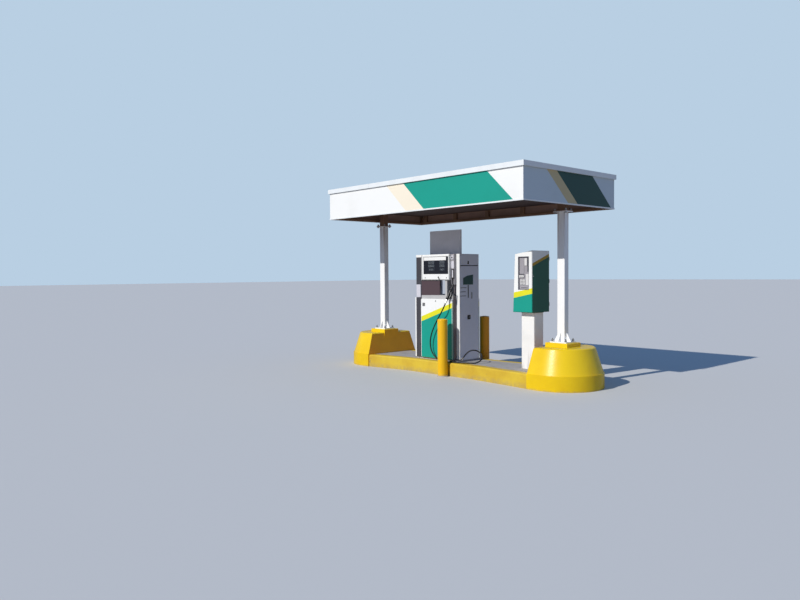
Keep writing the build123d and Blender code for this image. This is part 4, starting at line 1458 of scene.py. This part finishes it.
# %% Frame of the board
board_low, board_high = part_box("topper_board")
BOARD_FACE, RAIL, SCREW_IN = board_high.y, 0.010, 0.014
rail_foot, rail_top = board_low.z + 0.0079, board_high.z - 0.0001
bm = bmesh.new()
for s in SIDES:
    deep = (s * (BOARD_FACE - 0.0001), s * (BOARD_FACE + 0.0022))
    for z in (rail_foot, rail_top - RAIL):
        rail = box(bm, board_low.x, board_high.x, *deep, z, z + RAIL)
        soften(bm, rail, 0.0008, 1)
    for x in (board_low.x, board_high.x - RAIL):
        rail = box(bm, x, x + RAIL, *deep, rail_foot + RAIL + 0.0002, rail_top - RAIL - 0.0002)
        soften(bm, rail, 0.0008, 1)
    for x in (board_low.x + SCREW_IN, board_high.x - SCREW_IN):
        for z in (rail_foot + 0.0135, rail_top - 0.0132):
            rod(bm, (x, s * (BOARD_FACE + 0.0015), z), (x, s * (BOARD_FACE + 0.0035), z), 0.0035, 12)
piece("board_frame", bm, board_laminate)

# %% [markdown]
# In the terminal's recess sit, from top to bottom, a dull screen beside a slip holder, the
# card slot and a keypad, and the receipt flap. They are raised blocks, measured from the
# recess's lower left corner and outwards from the panel.

# %% Modules of the terminal
MODULE_FACE = -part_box("terminal_panel")[0].y - 2 * AIR


def modules(name, blocks, coat, round_by=0.002):
    """Raised blocks on the terminal's panel: left, right, foot, top and how far out."""
    bm = bmesh.new()
    for left, right_edge, foot, top, out in blocks:
        spans = ((left, right_edge), (foot, top), (-0.0002, out))
        on_face(bm, recess_left, recess_foot, MODULE_FACE, -1, *spans, round_by)
    return piece(name, bm, coat)


SCREEN, FLAP = (0.007, 0.095, 0.250, 0.498, 0.006), (0.007, 0.195, 0.006, 0.053, 0.006)
modules("terminal_screen", [SCREEN, FLAP], grey_abs)

# %% [markdown]
# The slip holder, the card reader, the keypad's plate and the cover beside it are pale.
# They are made in the same way as the screen, from a short list of their edges.

# %% Pale modules
SLIP_HOLDER = (0.107, 0.155, 0.376, 0.493, 0.012)
CARD_READER = (0.009, 0.100, 0.190, 0.224, 0.024)
KEYPAD = (0.019, 0.117, 0.068, 0.163, 0.008)
SIDE_COVER = (0.129, 0.189, 0.068, 0.243, 0.006)
modules("terminal_modules", [SLIP_HOLDER, CARD_READER, KEYPAD, SIDE_COVER], pale_abs)

# %% [markdown]
# A sensor strip is dark. The gap over the card reader, its slot and the slot of the flap
# are thin dark blocks of painted shade: a real slot would need a hole, whose shade at this
# size looks the same as a dark block.

# %% Dark strip and painted shade of the slots
SENSOR = (0.161, 0.193, 0.278, 0.493, 0.003)
# Painted shade: the gap and the two slots are dark blocks where a hole would be in shade.
READER_GAP_SHADE = (0.009, 0.100, 0.230, 0.240, 0.007)
CARD_SLOT_SHADE = (0.019, 0.091, 0.205, 0.209, 0.0246)
FLAP_SLOT_SHADE = (0.040, 0.165, 0.023, 0.031, 0.0068)
modules("terminal_sensor_and_slot_shade", [SENSOR, READER_GAP_SHADE, CARD_SLOT_SHADE, FLAP_SLOT_SHADE], crystal_field, 0.0004)

# %% [markdown]
# The keys are twelve small raised blocks on the keypad, and bare. Two loops place them,
# from the key at the lower left.

# %% Keys
FIRST_KEY, KEY_PITCH, KEY_HALF = (0.039, 0.081), (0.029, 0.0238), (0.009, 0.0072)
KEY_OUT = (0.0078, 0.0112)
bm = bmesh.new()
for i in range(3):
    for j in range(4):
        x, z = FIRST_KEY[0] + i * KEY_PITCH[0], FIRST_KEY[1] + j * KEY_PITCH[1]
        across, upwards = (x - KEY_HALF[0], x + KEY_HALF[0]), (z - KEY_HALF[1], z + KEY_HALF[1])
        on_face(bm, recess_left, recess_foot, MODULE_FACE, -1, across, upwards, KEY_OUT, 0.0015)
piece("terminal_keys", bm, zinc_plated_steel)

# %% [markdown]
# The head's edges carry a slim stainless trim round the recess. It overlaps the recess's
# edge by half a millimetre, and the flat bars lie between the upright ones.

# %% Trim of the terminal
terminal_low, terminal_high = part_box("terminal_head")
OVER, TRIM = 0.0005, 0.006
trim = bmesh.new()
deep = (terminal_low.y - 0.0018, terminal_low.y + 0.0001)
outer_foot, outer_top = recess_foot + OVER - TRIM, recess_top - OVER + TRIM
for x in (recess_left + OVER - TRIM, recess_right - OVER):
    bar = box(trim, x, x + TRIM, *deep, outer_foot, outer_top)
    soften(trim, bar, 0.0006, 1)
for z in (outer_foot, outer_top - TRIM):
    bar = box(trim, recess_left + OVER + 0.0002, recess_right - OVER - 0.0002, *deep, z, z + TRIM)
    soften(trim, bar, 0.0006, 1)
print("trim", len(trim.faces), "faces")

# %% [markdown]
# Three hinges stand at the back of the right side, and a lock sits near its front. Both
# are turned parts, so they are round bars.

# %% Hinges and lock of the terminal
HINGE_HALF, HINGES_UP, LOCK_IN, LOCK_UP = 0.03, (0.12, 0.49, 0.85), 0.035, 0.57
for rise in HINGES_UP:
    x, y, z = terminal_high.x + 0.0002, terminal_high.y + 0.0035, terminal_low.z + rise
    hinge = rod(trim, (x, y, z - HINGE_HALF), (x, y, z + HINGE_HALF), 0.006, 16)
    soften(trim, hinge, 0.001, 1)
y, z = terminal_low.y + LOCK_IN, terminal_low.z + LOCK_UP
rod(trim, (terminal_high.x - 0.0001, y, z), (terminal_high.x + 0.0035, y, z), 0.010, 24)
piece("terminal_trim", trim, stainless_steel)

# %% [markdown]
# A dark gasket closes the joint between the terminal's head and its post. It is a frame
# round the top of the post.

# %% Gasket of the terminal
post_low, post_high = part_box("terminal_post")
OUT = 0.0025
bm = bmesh.new()
outline = (post_low.x - OUT, post_high.x + OUT, post_low.y - OUT, post_high.y + OUT)
hoop(bm, *outline, 0.0024, post_high.z - 0.0083, post_high.z - AIR)
piece("terminal_gasket", bm, nitrile_rubber)

# %% [markdown]
# Each bollard has a weld bead under its cap. The bead is painted with its bollard, so it
# gets the deeper yellow of painted shade at the back.

# %% Weld beads of the bollards
BEAD_DOWN, BEAD_H, BEAD_R, TUBE_R = 0.029, 0.006, 0.0862, 0.085
bead_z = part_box("bollard_front")[1].z - BEAD_DOWN
corner_to_axis = Vector((TUBE_R, TUBE_R, 0))
centres = [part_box(name)[1] - corner_to_axis for name in ("bollard_front", "bollard_back")]
bm = bmesh.new()
for centre in centres:
    x, y = centre.x, centre.y
    bead = rod(bm, (x, y, bead_z), (x, y, bead_z + BEAD_H), BEAD_R, 48)
    soften(bm, bead, 0.002)
ring = piece("bollard_beads", bm, bollard_yellow)
ring.data.materials.append(back_bollard_painted_shade_yellow)
for face in ring.data.polygons:
    face.material_index = int(face.center.y > 0)

# %% [markdown]
# A low collar of mortar closes the hole in the ground round each bollard's foot. Its sides
# slope, so it is a short cone, wider below than above.

# %% Mortar of the bollards
MORTAR_FOOT, MORTAR_TOP, MORTAR_WIDE, MORTAR_NARROW = 0.0002, 0.016, 0.105, 0.087
bm = bmesh.new()
for centre in centres:
    x, y = centre.x, centre.y
    rod(bm, (x, y, MORTAR_FOOT), (x, y, MORTAR_TOP), MORTAR_WIDE, 40, MORTAR_NARROW)
piece("bollard_mortar", bm, concrete)
